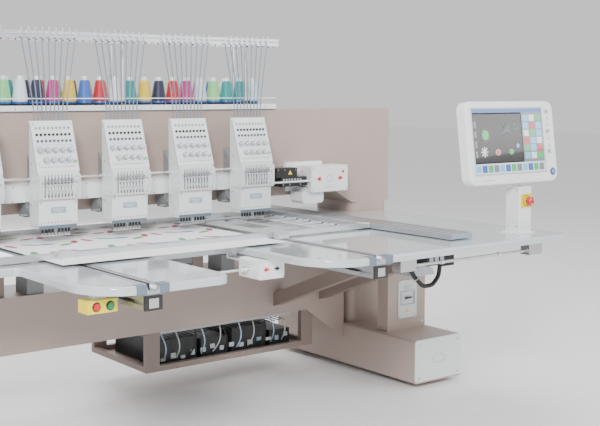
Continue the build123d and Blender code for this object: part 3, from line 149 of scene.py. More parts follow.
class Nodes:
    """Node tree of one material, with a Principled shader at its end."""

    def __init__(self, name: str) -> None:
        """Makes the material and its shader."""
        self.material = bpy.data.materials.new(name)
        self.material.use_nodes = True
        self.tree = self.material.node_tree
        self.shader = self.tree.nodes["Principled BSDF"]
        self.place = self.add("ShaderNodeTexCoord", {}, []).outputs["Object"]

    def add(self, kind: str, settings: dict, inputs: Union[Sequence, dict]) -> bpy.types.Node:
        """Adds a node.

        Args:
            kind: Type of the node.
            settings: Attributes that are set before the sockets.
            inputs: Values or links, in order or by the socket's name.

        Returns:
            The node.
        """
        node = self.tree.nodes.new(kind)
        for key, setting in settings.items():
            if key == "stops":
                self._stops(node.color_ramp, setting)
            else:
                setattr(node, key, setting)
        pairs = inputs.items() if isinstance(inputs, dict) else enumerate(inputs)
        for key, given in pairs:
            self.feed(node.inputs[key], given)
        return node

    @staticmethod
    def _stops(ramp: bpy.types.ColorRamp, stops: Sequence[tuple[float, Colour]]) -> None:
        """Sets the stops of a colour ramp."""
        while len(ramp.elements) < len(stops):
            ramp.elements.new(0.5)
        for element, (position, colour) in zip(ramp.elements, stops):
            element.position = position
            element.color = (*colour, 1.0)

    def feed(self, socket: bpy.types.NodeSocket, given: object) -> None:
        """Gives a socket a link or a value.

        Args:
            socket: The input.
            given: A Value, a socket, a number or a colour.
        """
        if isinstance(given, Value):
            given = given.socket
        if isinstance(given, bpy.types.NodeSocket):
            self.tree.links.new(given, socket)
        elif isinstance(given, (tuple, list)) and socket.type == "RGBA":
            socket.default_value = (*given[:3], 1.0)
        else:
            socket.default_value = given

    def noise(self, scale: float, detail: float = 3.0, stretch: Point = (1.0, 1.0, 1.0)) -> Value:
        """Noise over the piece's own space.

        Args:
            scale: Noise cells in a metre.
            detail: Octaves.
            stretch: Factor along each axis.

        Returns:
            Noise from 0 to 1.
        """
        place = self.add("ShaderNodeMapping", {}, {"Vector": self.place, "Scale": stretch}).outputs[0]
        node = self.add("ShaderNodeTexNoise", {}, {"Vector": place, "Scale": scale, "Detail": detail})
        return Value(self, node.outputs[0])

    def axes(self) -> tuple[Value, Value, Value]:
        """X, Y and Z in metres as values."""
        node = self.add("ShaderNodeSeparateXYZ", {}, [self.place])
        return Value(self, node.outputs[0]), Value(self, node.outputs[1]), Value(self, node.outputs[2])

    def blend(self, share: Value, first: object, second: object) -> bpy.types.NodeSocket:
        """Colour between two colours.

        Args:
            share: 0 for the first colour and 1 for the second.
            first: Colour or socket.
            second: Colour or socket.

        Returns:
            The mixed colour.
        """
        node = self.add("ShaderNodeMix", {"data_type": "RGBA", "clamp_factor": True}, {})
        self.feed(node.inputs[0], share)
        self.feed(node.inputs[6], first)
        self.feed(node.inputs[7], second)
        return node.outputs[2]

    def bump(self, height: Value, depth: float, strength: float = 1.0) -> None:
        """Bumps the surface.

        Args:
            height: Height from 0 to 1.
            depth: Real depth in metres.
            strength: Share of the bump that is used.
        """
        node = self.add("ShaderNodeBump", {}, {"Height": height, "Distance": depth, "Strength": strength})
        self.feed(self.shader.inputs["Normal"], node.outputs[0])

    def set(self, **sockets: object) -> bpy.types.Material:
        """Feeds the shader's sockets, with underscores for spaces.

        Args:
            sockets: Values or links by the socket's name.

        Returns:
            The finished material.
        """
        for name, given in sockets.items():
            self.feed(self.shader.inputs[name.replace("_", " ")], given)
        return self.material


@dataclass(frozen=True)
class Paint:
    """Sprayed paint on sheet or castings: orange peel, faint cloudiness and light scuffs."""

    name: str
    colour: Colour
    roughness: float = 0.42
    peel: float = 0.00005
    peel_scale: float = 260.0
    scuff: float = 0.10

    def build(self) -> bpy.types.Material:
        """Makes the material."""
        nodes = Nodes(self.name)
        cloud = nodes.noise(2.6, 4.0)
        grain = nodes.noise(self.peel_scale, 2.0)
        scratch = nodes.noise(70.0, 4.0, (1.0, 1.0, 5.0))
        dark = tuple(c * (1.0 - self.scuff) for c in self.colour)
        light = tuple(min(1.0, c * (1.0 + self.scuff * 0.6)) for c in self.colour)
        base = nodes.blend(cloud, dark, light)
        worn = (scratch.above(0.69)) * 0.35
        base = nodes.blend(worn, base, tuple(min(1.0, c * 1.12 + 0.02) for c in self.colour))
        nodes.bump(grain, self.peel)
        return nodes.set(Base_Color=base, Roughness=cloud * 0.12 + (self.roughness - 0.06))


@dataclass(frozen=True)
class Laminate:
    """Hard glossy table laminate with a faint fleck and wiping marks."""

    name: str
    colour: Colour
    roughness: float = 0.09

    def build(self) -> bpy.types.Material:
        """Makes the material."""
        nodes = Nodes(self.name)
        fleck = nodes.noise(900.0, 2.0)
        wipe = nodes.noise(6.0, 5.0, (1.0, 3.0, 1.0))
        base = nodes.blend(fleck, tuple(c * 0.965 for c in self.colour), self.colour)
        nodes.bump(nodes.noise(40.0, 2.0), 0.00002, 0.6)
        nodes.set(Coat_Weight=0.6, Coat_Roughness=0.04, Specular_IOR_Level=0.6)
        return nodes.set(Base_Color=base, Roughness=wipe * 0.09 + self.roughness)


@dataclass(frozen=True)
class Metal:
    """Bare or anodised metal with lines along the way it was drawn or ground."""

    name: str
    colour: Colour
    roughness: float = 0.32
    stretch: Point = (0.02, 1.0, 1.0)
    depth: float = 0.00003
    metallic: float = 1.0

    def build(self) -> bpy.types.Material:
        """Makes the material."""
        nodes = Nodes(self.name)
        lines = nodes.noise(700.0, 3.0, self.stretch)
        cloud = nodes.noise(9.0, 3.0)
        base = nodes.blend(lines, tuple(c * 0.86 for c in self.colour), self.colour)
        nodes.bump(lines, self.depth)
        rough = lines * 0.10 + (cloud * 0.10 + (self.roughness - 0.1))
        return nodes.set(Base_Color=base, Roughness=rough, Metallic=self.metallic)


@dataclass(frozen=True)
class Moulded:
    """Moulded plastic or rubber with a fine spark texture."""

    name: str
    colour: Colour
    roughness: float = 0.35
    texture: float = 0.00003
    coat: float = 0.0
    alpha: float = 1.0
    glow: float = 0.0

    def build(self) -> bpy.types.Material:
        """Makes the material."""
        nodes = Nodes(self.name)
        grain = nodes.noise(1500.0, 2.0)
        cloud = nodes.noise(14.0, 3.0)
        base = nodes.blend(cloud, tuple(c * 0.94 for c in self.colour), self.colour)
        nodes.bump(grain, self.texture)
        nodes.set(Coat_Weight=self.coat, Alpha=self.alpha)
        if self.glow:
            nodes.set(Emission_Color=base, Emission_Strength=self.glow)
        return nodes.set(Base_Color=base, Roughness=cloud * 0.1 + (self.roughness - 0.05))


@dataclass(frozen=True)
class Clear:
    """Clear or frosted plastic."""

    name: str
    colour: Colour
    roughness: float = 0.12
    transmission: float = 0.75
    haze: float = 0.0

    def build(self) -> bpy.types.Material:
        """Makes the material."""
        nodes = Nodes(self.name)
        cloud = nodes.noise(50.0, 3.0)
        base = nodes.blend(cloud, tuple(c * 0.95 for c in self.colour), self.colour)
        nodes.bump(nodes.noise(600.0, 2.0), 0.00002 + self.haze)
        nodes.set(Transmission_Weight=self.transmission, IOR=1.45)
        return nodes.set(Base_Color=base, Roughness=cloud * 0.08 + self.roughness)


@dataclass(frozen=True)
class Thread:
    """Glossy thread wound crosswise on a cone, with painted shade in the grooves and a painted highlight on
    the crests of the winding.
    """

    name: str
    colour: Colour

    def build(self) -> bpy.types.Material:
        """Makes the material."""
        nodes = Nodes(self.name)
        x, _, z = nodes.axes()
        rise = (z * 1500.0 + x * 420.0).wave()
        fall = (z * 1500.0 - x * 420.0).wave()
        lines = rise.larger(fall)
        wear = nodes.noise(120.0, 3.0)
        # dark is painted shade in the grooves and light is a painted highlight on the crests, following the
        # bump of the winding; the wear noise adds random tone.
        dark = tuple(c * 0.55 for c in self.colour)
        light = tuple(min(1.0, c * 1.25 + 0.02) for c in self.colour)
        base = nodes.blend(lines * 0.8 + wear * 0.2, dark, light)
        nodes.bump(lines, 0.0004, 0.7)
        nodes.set(Sheen_Weight=0.35, Sheen_Roughness=0.4)
        return nodes.set(Base_Color=base, Roughness=wear * 0.1 + 0.32)


class Finish(Enum):
    """Every finish on the machine."""

    BEIGE = Paint("beige_paint", (0.425, 0.335, 0.295), 0.45, 0.00009, 190.0)
    # The same beige paint made darker for the parts under the table: painted shade.
    BEIGE_DARK = Paint("beige_paint_with_painted_shade", (0.25, 0.19, 0.165), 0.5, 0.00009, 190.0)
    WHITE = Paint("white_paint", (0.83, 0.845, 0.85), 0.3, 0.00003, 320.0, 0.04)
    GREY_PLATE = Paint("grey_plate_paint", (0.66, 0.69, 0.70), 0.34, 0.00004, 300.0, 0.05)
    SLATE = Paint("slate_paint", (0.10, 0.125, 0.155), 0.38, 0.00004, 300.0)
    CAST = Paint("cast_paint", (0.22, 0.225, 0.23), 0.5, 0.00016, 160.0)
    BLUE_GREY = Paint("blue_grey_paint", (0.32, 0.40, 0.47), 0.4, 0.00004, 300.0)
    TABLE = Laminate("table_laminate", (0.50, 0.545, 0.56), 0.05)
    ALU_X = Metal("aluminium_along_x", (0.78, 0.80, 0.82), 0.34, (0.02, 1.0, 1.0))
    ALU_Y = Metal("aluminium_along_y", (0.60, 0.62, 0.64), 0.38, (1.0, 0.02, 1.0))
    STEEL = Metal("ground_steel", (0.62, 0.62, 0.63), 0.26, (1.0, 1.0, 0.1))
    CHROME = Metal("polished_steel", (0.80, 0.81, 0.82), 0.12, (1.0, 1.0, 1.0), 0.00001)
    BRASS = Metal("brass", (0.72, 0.52, 0.22), 0.3, (1.0, 1.0, 1.0), 0.00001)
    CASE_WHITE = Moulded("white_casing", (0.74, 0.76, 0.77), 0.3, 0.00002, 0.25)
    CASE_GREY = Moulded("grey_casing", (0.50, 0.53, 0.55), 0.34)
    PANEL_WHITE = Moulded("panel_housing_white", (0.84, 0.85, 0.86), 0.28, 0.00003, 0.2)
    BLACK = Moulded("black_plastic", (0.018, 0.019, 0.021), 0.4, 0.00006)
    # Near-black sheets in holes, sockets, slots and vents: painted shade inside the recesses. The panel
    # screen's dark glass also takes it as its own colour.
    DARK = Moulded("recess_shade_and_screen_black", (0.006, 0.006, 0.007), 0.6)
    RUBBER = Moulded("black_rubber", (0.02, 0.02, 0.021), 0.62, 0.0001)
    YELLOW = Moulded("yellow_plastic", (0.90, 0.72, 0.02), 0.34, 0.00003, 0.2)
    RED = Moulded("red_plastic", (0.62, 0.012, 0.012), 0.26, 0.00002, 0.4)
    GREEN = Moulded("green_plastic", (0.01, 0.24, 0.08), 0.28, 0.00002, 0.4)
    BLUE = Moulded("blue_plastic", (0.03, 0.12, 0.42), 0.3, 0.00002, 0.3)
    STICKER_GREEN = Moulded("green_sticker", (0.015, 0.36, 0.06), 0.3, 0.00001, 0.4)
    STICKER_WHITE = Moulded("white_sticker", (0.86, 0.86, 0.86), 0.3, 0.00001, 0.3)
    KNOB_CLEAR = Clear("clear_knob", (0.74, 0.79, 0.83), 0.10, 0.6)
    FROSTED = Clear("frosted_cover", (0.78, 0.82, 0.86), 0.34, 0.45, 0.00002)
    SLATE_BLUE = Paint("slate_blue_paint", (0.14, 0.18, 0.23), 0.36, 0.00004, 300.0)
    DOT_RED = Moulded("red_dots", (0.42, 0.03, 0.04), 0.4, 0.00001)
    COVER_MILKY = Clear("milky_cover", (0.62, 0.67, 0.72), 0.3, 0.25, 0.00002)
    CABLE_BLUE = Moulded("blue_white_cable", (0.42, 0.55, 0.72), 0.45, 0.00004)
    UI_BLACK = Moulded("screen_black", (0.004, 0.004, 0.005), 0.14, 0.000005, 0.8, 1.0, 0.3)
    UI_GREY = Moulded("screen_grey", (0.16, 0.18, 0.20), 0.14, 0.000005, 0.8, 1.0, 0.5)
    UI_PALE = Moulded("screen_pale", (0.62, 0.68, 0.74), 0.14, 0.000005, 0.8, 1.0, 0.45)
    UI_BLUE = Moulded("screen_blue", (0.03, 0.10, 0.36), 0.14, 0.000005, 0.8, 1.0, 0.6)
    UI_SKY = Moulded("screen_sky", (0.16, 0.42, 0.68), 0.14, 0.000005, 0.8, 1.0, 0.6)
    UI_GREEN = Moulded("screen_green", (0.04, 0.36, 0.09), 0.14, 0.000005, 0.8, 1.0, 0.7)
    UI_RED = Moulded("screen_red", (0.46, 0.05, 0.05), 0.14, 0.000005, 0.8, 1.0, 0.7)
    TUBE = Clear("thread_tube", (0.22, 0.28, 0.36), 0.25, 0.2)

    @property
    def material(self) -> bpy.types.Material:
        """The finish's material, made on first use."""
        return bpy.data.materials.get(self.value.name) or self.value.build()


def paint_node(node: str, finish: Finish) -> None:
    """Gives a CAD node a finish.

    Args:
        node: Name of the CAD node.
        finish: The finish.
    """
    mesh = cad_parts[node].data
    mesh.materials.clear()
    mesh.materials.append(finish.material)


# ------------------------------------------------------------------ modelling

class Shape:
    """A mesh object that is shaped with Blender's own operators, in millimetres."""

    def __init__(self, obj: bpy.types.Object) -> None:
        """Holds the object."""
        self.obj = obj

    @staticmethod
    def _clear() -> None:
        """Deselects every object."""
        if bpy.context.mode != "OBJECT":
            bpy.ops.object.mode_set(mode="OBJECT")
        bpy.ops.object.select_all(action="DESELECT")

    @classmethod
    def _new(cls) -> "Shape":
        """Takes the primitive that was just added and applies its place."""
        bpy.ops.object.transform_apply(location=True, rotation=True, scale=True)
        return cls(bpy.context.object)

    @classmethod
    def box(cls, low: Sequence[float], high: Sequence[float]) -> "Shape":
        """A box between two corners.

        Args:
            low: Lowest corner.
            high: Highest corner.

        Returns:
            The box.
        """
        cls._clear()
        low, high = Vector(low) * MM, Vector(high) * MM
        bpy.ops.mesh.primitive_cube_add(size=1, location=(low + high) / 2, scale=high - low)
        return cls._new()

    @classmethod
    def rod(cls, start: Sequence[float], end: Sequence[float], radius: float, sides: int = 24,
            end_radius: Optional[float] = None) -> "Shape":
        """A round bar or cone between two points.

        Args:
            start: Centre of the first end.
            end: Centre of the second end.
            radius: Radius of the first end.
            sides: Sides of the circle.
            end_radius: Radius of the second end, if it differs.

        Returns:
            The bar.
        """
        cls._clear()
        start, end = Vector(start) * MM, Vector(end) * MM
        turn = (end - start).to_track_quat("Z", "Y").to_euler()
        last = radius if end_radius is None else end_radius
        bpy.ops.mesh.primitive_cone_add(vertices=sides, radius1=radius * MM, radius2=last * MM,
                                        depth=(end - start).length, location=(start + end) / 2, rotation=turn)
        return cls._new()

    @classmethod
    def ring(cls, centre: Sequence[float], axis: Sequence[float], radius: float, thick: float,
             sides: int = 24, rounds: int = 8) -> "Shape":
        """A ring of round section.

        Args:
            centre: Centre of the ring.
            axis: Direction of its axis.
            radius: Radius of the middle of its section.
            thick: Radius of its section.
            sides: Segments round the ring.
            rounds: Segments round the section.

        Returns:
            The ring.
        """
        cls._clear()
        turn = Vector(axis).to_track_quat("Z", "Y").to_euler()
        bpy.ops.mesh.primitive_torus_add(location=Vector(centre) * MM, rotation=turn,
                                         major_radius=radius * MM,
                                         minor_radius=thick * MM, major_segments=sides, minor_segments=rounds)
        return cls._new()

    @classmethod
    def ball(cls, centre: Sequence[float], radius: float, sides: int = 16) -> "Shape":
        """A ball."""
        cls._clear()
        bpy.ops.mesh.primitive_uv_sphere_add(segments=sides, ring_count=sides // 2, radius=radius * MM,
                                             location=Vector(centre) * MM)
        return cls._new()

    @classmethod
    def slab(cls, outline: Sequence[Point], along: Sequence[float]) -> "Shape":
        """A flat outline extruded along a vector.

        Args:
            outline: Corners in order.
            along: Vector of the extrusion.

        Returns:
            The slab.
        """
        cls._clear()
        bpy.ops.mesh.primitive_circle_add(vertices=len(outline), radius=MM, fill_type="NGON")
        mesh = bpy.context.object.data
        for vertex, point in zip(mesh.vertices, outline):
            vertex.co = Vector(point) * MM
        mesh.update()
        bpy.ops.object.mode_set(mode="EDIT")
        bpy.ops.mesh.select_all(action="SELECT")
        bpy.ops.mesh.extrude_region_move(TRANSFORM_OT_translate={"value": Vector(along) * MM})
        bpy.ops.mesh.select_all(action="SELECT")
        bpy.ops.mesh.normals_make_consistent(inside=False)
        bpy.ops.object.mode_set(mode="OBJECT")
        return cls(bpy.context.object)

    def _apply(self, modifier: bpy.types.Modifier) -> "Shape":
        """Applies one modifier."""
        self._clear()
        self.obj.select_set(True)
        bpy.context.view_layer.objects.active = self.obj
        bpy.ops.object.modifier_apply(modifier=modifier.name)
        return self

    def soften(self, width: float = 1.0, steps: int = 2, angle: float = 35.0) -> "Shape":
        """Rounds every sharp edge a little.

        Args:
            width: Radius.
            steps: Segments.
            angle: Smallest turn that counts as an edge, in degrees.

        Returns:
            The same shape.
        """
        modifier = self.obj.modifiers.new("soften", "BEVEL")
        modifier.width = width * MM
        modifier.segments = steps
        modifier.limit_method = "ANGLE"
        modifier.angle_limit = math.radians(angle)
        return self._apply(modifier)

    def cut(self, *tools: "Shape") -> "Shape":
        """Cuts other shapes out of this one and deletes them."""
        tool = join(tools)
        modifier = self.obj.modifiers.new("cut", "BOOLEAN")
        modifier.operation = "DIFFERENCE"
        modifier.solver = "EXACT"
        modifier.object = tool.obj
        self._apply(modifier)
        bpy.data.objects.remove(tool.obj)
        return self

    def smooth(self, angle: float = 35.0) -> "Shape":
        """Shades the shape smooth up to an angle between faces, in degrees."""
        self._clear()
        self.obj.select_set(True)
        bpy.context.view_layer.objects.active = self.obj
        bpy.ops.object.shade_smooth_by_angle(angle=math.radians(angle))
        return self

    def turn(self, angle: float, axis: str, about: Sequence[float]) -> "Shape":
        """Turns the shape.

        Args:
            angle: Angle in degrees by the right-hand rule.
            axis: X, Y or Z.
            about: Point on the axis.

        Returns:
            The same shape.
        """
        centre = Vector(about) * MM
        matrix = Matrix.Translation(centre) @ Matrix.Rotation(math.radians(angle), 4, axis)
        self.obj.data.transform(matrix @ Matrix.Translation(-centre))
        return self

    def wear(self, finish: Finish) -> "Shape":
        """Gives the whole shape one finish."""
        self.obj.data.materials.clear()
        self.obj.data.materials.append(finish.material)
        return self

    def copies(self, offsets: Iterable[Sequence[float]]) -> "Shape":
        """Copies of this shape at the given offsets, joined; the first one is moved there too.

        Args:
            offsets: Offset of each copy.

        Returns:
            All copies as one shape.
        """
        made = []
        for offset in offsets:
            copy = self.obj.copy()
            copy.data = self.obj.data.copy()
            copy.data.transform(Matrix.Translation(Vector(offset) * MM))
            bpy.context.scene.collection.objects.link(copy)
            made.append(Shape(copy))
        bpy.data.objects.remove(self.obj)
        return join(made)


def join(shapes: Iterable[Shape]) -> Shape:
    """Joins shapes into the first one.

    Args:
        shapes: The shapes.

    Returns:
        The joined shape.
    """
    shapes = list(shapes)
    Shape._clear()
    for shape in shapes:
        shape.obj.select_set(True)
    bpy.context.view_layer.objects.active = shapes[0].obj
    if len(shapes) > 1:
        bpy.ops.object.join()
    return shapes[0]


def keep(shape: Shape, name: str, body: str, replaces: Sequence[str] = ()) -> bpy.types.Object:
    """Names a finished piece and ties it to the frame.

    Args:
        shape: The piece.
        name: Its name.
        body: CAD body that it rides on.
        replaces: CAD nodes that it stands for.

    Returns:
        The piece's object.
    """
    obj = shape.obj
    obj.name = name
    obj.data.name = name
    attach(obj, body)
    if replaces:
        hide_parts(*replaces)
    LOG.info("%s rides on %s", name, body)
    return obj


# ------------------------------------------------------------------ studio

@dataclass
class Studio:
    """Floor, lights and camera."""

    eye: Point = (-2255.0, -3645.0, 1400.0)
    yaw: float = 35.6
    pitch: float = -2.9
    lens: float = 63.5
    shift: tuple[float, float] = (0.14, -0.11)

    def build(self) -> None:
        """Makes the floor, the lights and the camera."""
        self._floor()
        self._lights()
        self._camera()

    def _floor(self) -> None:
        """Pale plain floor."""
        Shape._clear()
        bpy.ops.mesh.primitive_plane_add(size=60, location=(0, 0, -0.0005))
        floor = bpy.context.object
        floor.name = "floor"
        floor.data.materials.append(Moulded("floor_pale", (0.93, 0.93, 0.93), 0.6).build())

    def _lights(self) -> None:
        """Soft boxes and a pale surround."""
        world = bpy.data.worlds.new("surround")
        world.use_nodes = True
        world.node_tree.nodes["Background"].inputs[0].default_value = (1.0, 1.0, 1.0, 1.0)
        world.node_tree.nodes["Background"].inputs[1].default_value = 0.85
        bpy.context.scene.world = world
        for name, place, size, power in (("key", (-4.5, -5.5, 4.6), 1.8, 760.0),
                                         ("fill", (4.8, -5.0, 3.4), 3.5, 130.0),
                                         ("top", (0.0, 0.5, 5.5), 4.0, 150.0),
                                         ("back", (1.5, 6.0, 3.5), 4.0, 170.0)):
            data = bpy.data.lights.new(name, "AREA")
            data.size = size
            data.energy = power
            light = bpy.data.objects.new(name, data)
            light.location = place
            light.rotation_euler = (Vector((0, 0, 0.9)) - Vector(place)).to_track_quat("-Z", "Y").to_euler()
            bpy.context.scene.collection.objects.link(light)

    def _camera(self) -> None:
        """Camera at the operator's left, looking along the machine."""
        data = bpy.data.cameras.new("camera")
        data.lens = self.lens
        data.shift_x, data.shift_y = self.shift
        data.clip_end = 100.0
        camera = bpy.data.objects.new("camera", data)
        camera.location = Vector(self.eye) * MM
        yaw, pitch = math.radians(self.yaw), math.radians(self.pitch)
        look = Vector((math.sin(yaw) * math.cos(pitch), math.cos(yaw) * math.cos(pitch), math.sin(pitch)))
        camera.rotation_euler = look.to_track_quat("-Z", "Y").to_euler()
        bpy.context.scene.collection.objects.link(camera)
        bpy.context.scene.camera = camera


# ------------------------------------------------------------------ sub-assemblies

def spread(shape: Shape) -> Shape:
    """Copies a shape made at x = 0 to every embroidery head."""
    return shape.copies([(x, 0.0, 0.0) for x in head_places()])


def screw(centre: Sequence[float], axis: Sequence[float], radius: float, height: float = 1.6) -> Shape:
    """Socket screw head that stands on a face.

    Args:
        centre: Centre of its seat.
        axis: Direction in which it stands up.
        radius: Radius of the head.
        height: Height of the head.

    Returns:
        The screw head, in steel, with a near-black disc as painted shade in its socket.
    """
    seat, out = Vector(centre), Vector(axis).normalized()
    head = Shape.rod(seat - out * 0.4, seat + out * height, radius,
                     16).soften(radius * 0.12, 1).wear(Finish.CHROME)
    # Near-black disc in the socket: painted shade.
    socket = Shape.rod(seat + out * height * 0.6, seat + out * (height + 0.05), radius * 0.5,
                       6).wear(Finish.DARK)
    return join([head, socket])


@dataclass
class EmbroideryHeads:
    """Thread plates, take-up sections, covers and needles of every head."""

    needles: int = 9
    pitch: float = 14.7
    plate_low: float = 1084.0
    plate_high: float = 1291.0
    lean: float = 67.0
    front: float = 113.0
    tube_pitch: float = 18.0

    def build(self) -> None:
        """Makes every piece of the heads."""
        self._thread_plates()
        self._take_up()
        self._covers()
        self._knob_centres()
        self._feet()
        self._needle_plates()
        self._arms()

    def _columns(self, pitch: float, count: int) -> list[float]:
        """Evenly spaced places about the head's middle."""
        return [pitch * (i - (count - 1) / 2) for i in range(count)]

    def plate_point(self, x: float, z: float, out: float = 0.0) -> Vector:
        """Point on the leaning thread plate.

        Args:
            x: Place across the head.
            z: Height.
            out: Distance in front of the plate.

        Returns:
            The point.
        """
        slope = self.lean / (self.plate_high - self.plate_low)
        normal = Vector((0.0, -1.0, slope)).normalized()
        return Vector((x, self.front + (z - self.plate_low - 10.0) * slope, z)) + normal * out

    def _normal(self) -> Vector:
        """Direction out of the leaning plate."""
        return (self.plate_point(0, 1100, 1.0) - self.plate_point(0, 1100)).normalized()

    def _on_plate(self, shape: Shape, x: float, z: float) -> Shape:
        """Lays a shape made flat at the origin, with -Y out, on the leaning plate."""
        angle = math.degrees(math.atan2(self.lean, self.plate_high - self.plate_low))
        shape.turn(-angle, "X", (0, 0, 0))
        shape.obj.data.transform(Matrix.Translation(self.plate_point(x, z) * MM))
        return shape

    def _thread_plates(self) -> None:
        """Eyelets, rings, lines, screws and the triangle on the leaning plates."""
        out = self._normal()
        bits = []
        across = [(x, 0.0, 0.0) for x in self._columns(self.tube_pitch, self.needles)]
        seat = self.plate_point(0.0, 1262.0)
        bits.append(Shape.ring(seat + out * 1.2, out, 5.0, 1.3, 20, 6).smooth().wear(Finish.CASE_GREY)
                    .copies(across))
        for z, finish in ((1236.0, Finish.BLACK), (1211.0, Finish.SLATE)):
            seat = self.plate_point(0.0, z)
            eyelet = Shape.rod(seat - out, seat + out * 5.0, 5.9, 18,
                               4.6).soften(0.7, 2).smooth().wear(finish)
            bits.append(join([eyelet, Shape.rod(seat + out * 4.8, seat + out * 5.2, 2.2, 12)
                              .wear(Finish.DARK)]).copies(across))
        line = Shape.box((-84.0, -0.35, -0.7), (84.0, 0.4, 0.7))
        bits.append(self._on_plate(line, 0.0, 1196.0).wear(Finish.CASE_GREY))
        line = Shape.box((-84.0, -0.35, -0.5), (84.0, 0.4, 0.5))
        bits.append(self._on_plate(line, 0.0, 1116.0).wear(Finish.CASE_GREY))
        seat = self.plate_point(0.0, 1109.0)
        hole = Shape.rod(seat - out * 0.3, seat + out * 0.35, 2.0, 10).wear(Finish.DARK)
        bits.append(hole.copies([(x, 0.0, 0.0) for x in self._columns(9.2, 18)]))
        for x, z in ((-82.0, 1278.0), (82.0, 1278.0), (-82.0, 1190.0), (82.0, 1190.0), (0.0, 1190.0),
                     (-80.0, 1124.0), (80.0, 1124.0)):
            bits.append(screw(self.plate_point(x, z), out, 3.2))
        triangle = Shape.slab([(-9.0, -0.9, -8.0), (9.0, -0.9, -8.0), (6.0, -0.9, 10.0)], (0, 1.2, 0))
        bits.append(self._on_plate(triangle, 79.0, 1130.0).wear(Finish.STICKER_GREEN))
        for side in (-1, 1):
            edge = Shape.box((side * 92.6 - 0.8, -0.6, 4.0), (side * 92.6 + 0.8, 6.0, 204.0))
            bits.append(self._on_plate(edge, 0.0, 1086.0).wear(Finish.CASE_GREY))
        keep(spread(join(bits)), "thread_plate_fittings", "case_carriage")

    def _knob_centres(self) -> None:
        """Springs, discs and screws inside the clear tension knobs."""
        out = self._normal()
        bits = []
        for share, count, shift in ((0.44, 5, 0.0), (0.25, 4, 4.0)):
            z = self.plate_low + share * (self.plate_high - self.plate_low)
            seat = self.plate_point(0.0, z)
            knob = []
            for low, high, r, finish in ((-0.6, 1.6, 14.8, Finish.CHROME),
                                         (14.0, 15.2, 8.4, Finish.CASE_GREY),
                                         (15.2, 18.6, 3.6, Finish.CHROME)):
                knob.append(Shape.rod(seat + out * low, seat + out * high, r, 24).soften(0.4, 1).smooth()
                            .wear(finish))
            knob.append(Shape.ring(seat + out * 12.4, out, 10.9, 0.8, 24, 6).smooth()
                        .wear(Finish.CASE_WHITE))
            knob.append(Shape.box(seat + out * 18.5 - Vector((2.6, 0.3, 0.5)),
                                  seat + out * 18.5 + Vector((2.6, 0.5, 0.5))).wear(Finish.DARK))
            bits.append(join(knob).copies([(x + shift, 0.0, 0.0) for x in self._columns(33.5, count)]))
        keep(spread(join(bits)), "tension_discs", "case_carriage")

    def _take_up(self) -> None:
        """Dark slots, dots and lever fingers of the take-up sections."""
        slots = []
        for x in self._columns(self.pitch, self.needles):
            # Each slot is a thin black strip: painted shade in the slot opening.
            for side in (-2.9, 2.9):
                slots.append(Shape.box((x + side - 0.45, 112.4, 990), (x + side + 0.45, 113.3, 1066))
                             .wear(Finish.BLACK))
            dot = Shape.rod((x, 110.0, 981.5), (x, 107.7, 981.5), 2.3, 12)
            slots.append(dot.wear(Finish.DOT_RED))
        for x in (-78.0, 78.0):
            slots.append(screw((x, 113.0, 1070.0), (0, -1, 0), 3.4))
            slots.append(screw((x, 113.0, 990.0), (0, -1, 0), 3.4))
        ledge = Shape.box((-84.0, 108.5, 979.0), (84.0, 113.5, 983.5)).soften(1.2, 2).wear(Finish.CASE_GREY)
        slots.append(ledge)
        rail = Shape.rod((-84.0, 104.0, 1051.0), (84.0, 104.0, 1051.0), 1.8,
                         10).smooth().wear(Finish.CHROME)
        slots.append(rail)
        for x in (-83.0, 0.0, 83.0):
            slots.append(Shape.box((x - 2.0, 103.0, 1047.0), (x + 2.0, 113.4, 1056.0)).soften(0.8, 1)
                         .wear(Finish.CASE_WHITE))
        keep(spread(join(slots)), "take_up_trim", "case_carriage")
        idle = [(x, 0.0, 0.0) for x in self._columns(self.pitch, self.needles) if abs(x) > 1.0]
        keep(spread(self._lever(0.0).copies(idle)), "idle_lever_fingers", "case_carriage")
        keep(spread(self._lever(0.0)), "active_lever_fingers", "take_up")

    def _lever(self, x: float) -> Shape:
        """White finger with an eye on the front of a take-up lever."""
        path = [(110.0, 1036.0), (97.0, 1043.0), (86.0, 1041.0), (80.0, 1030.0), (82.0, 1019.0),
                (88.0, 1012.0)]
        parts = []
        for (y0, z0), (y1, z1) in zip(path, path[1:]):
            parts.append(Shape.rod((x, y0, z0), (x, y1, z1), 1.7, 10))
            parts.append(Shape.ball((x, y1, z1), 1.7, 10))
        parts.append(Shape.ring((x, 89.5, 1008.0), (1, 0, 0), 3.2, 1.1, 14, 6))
        return join(parts).smooth(60).wear(Finish.CASE_WHITE)

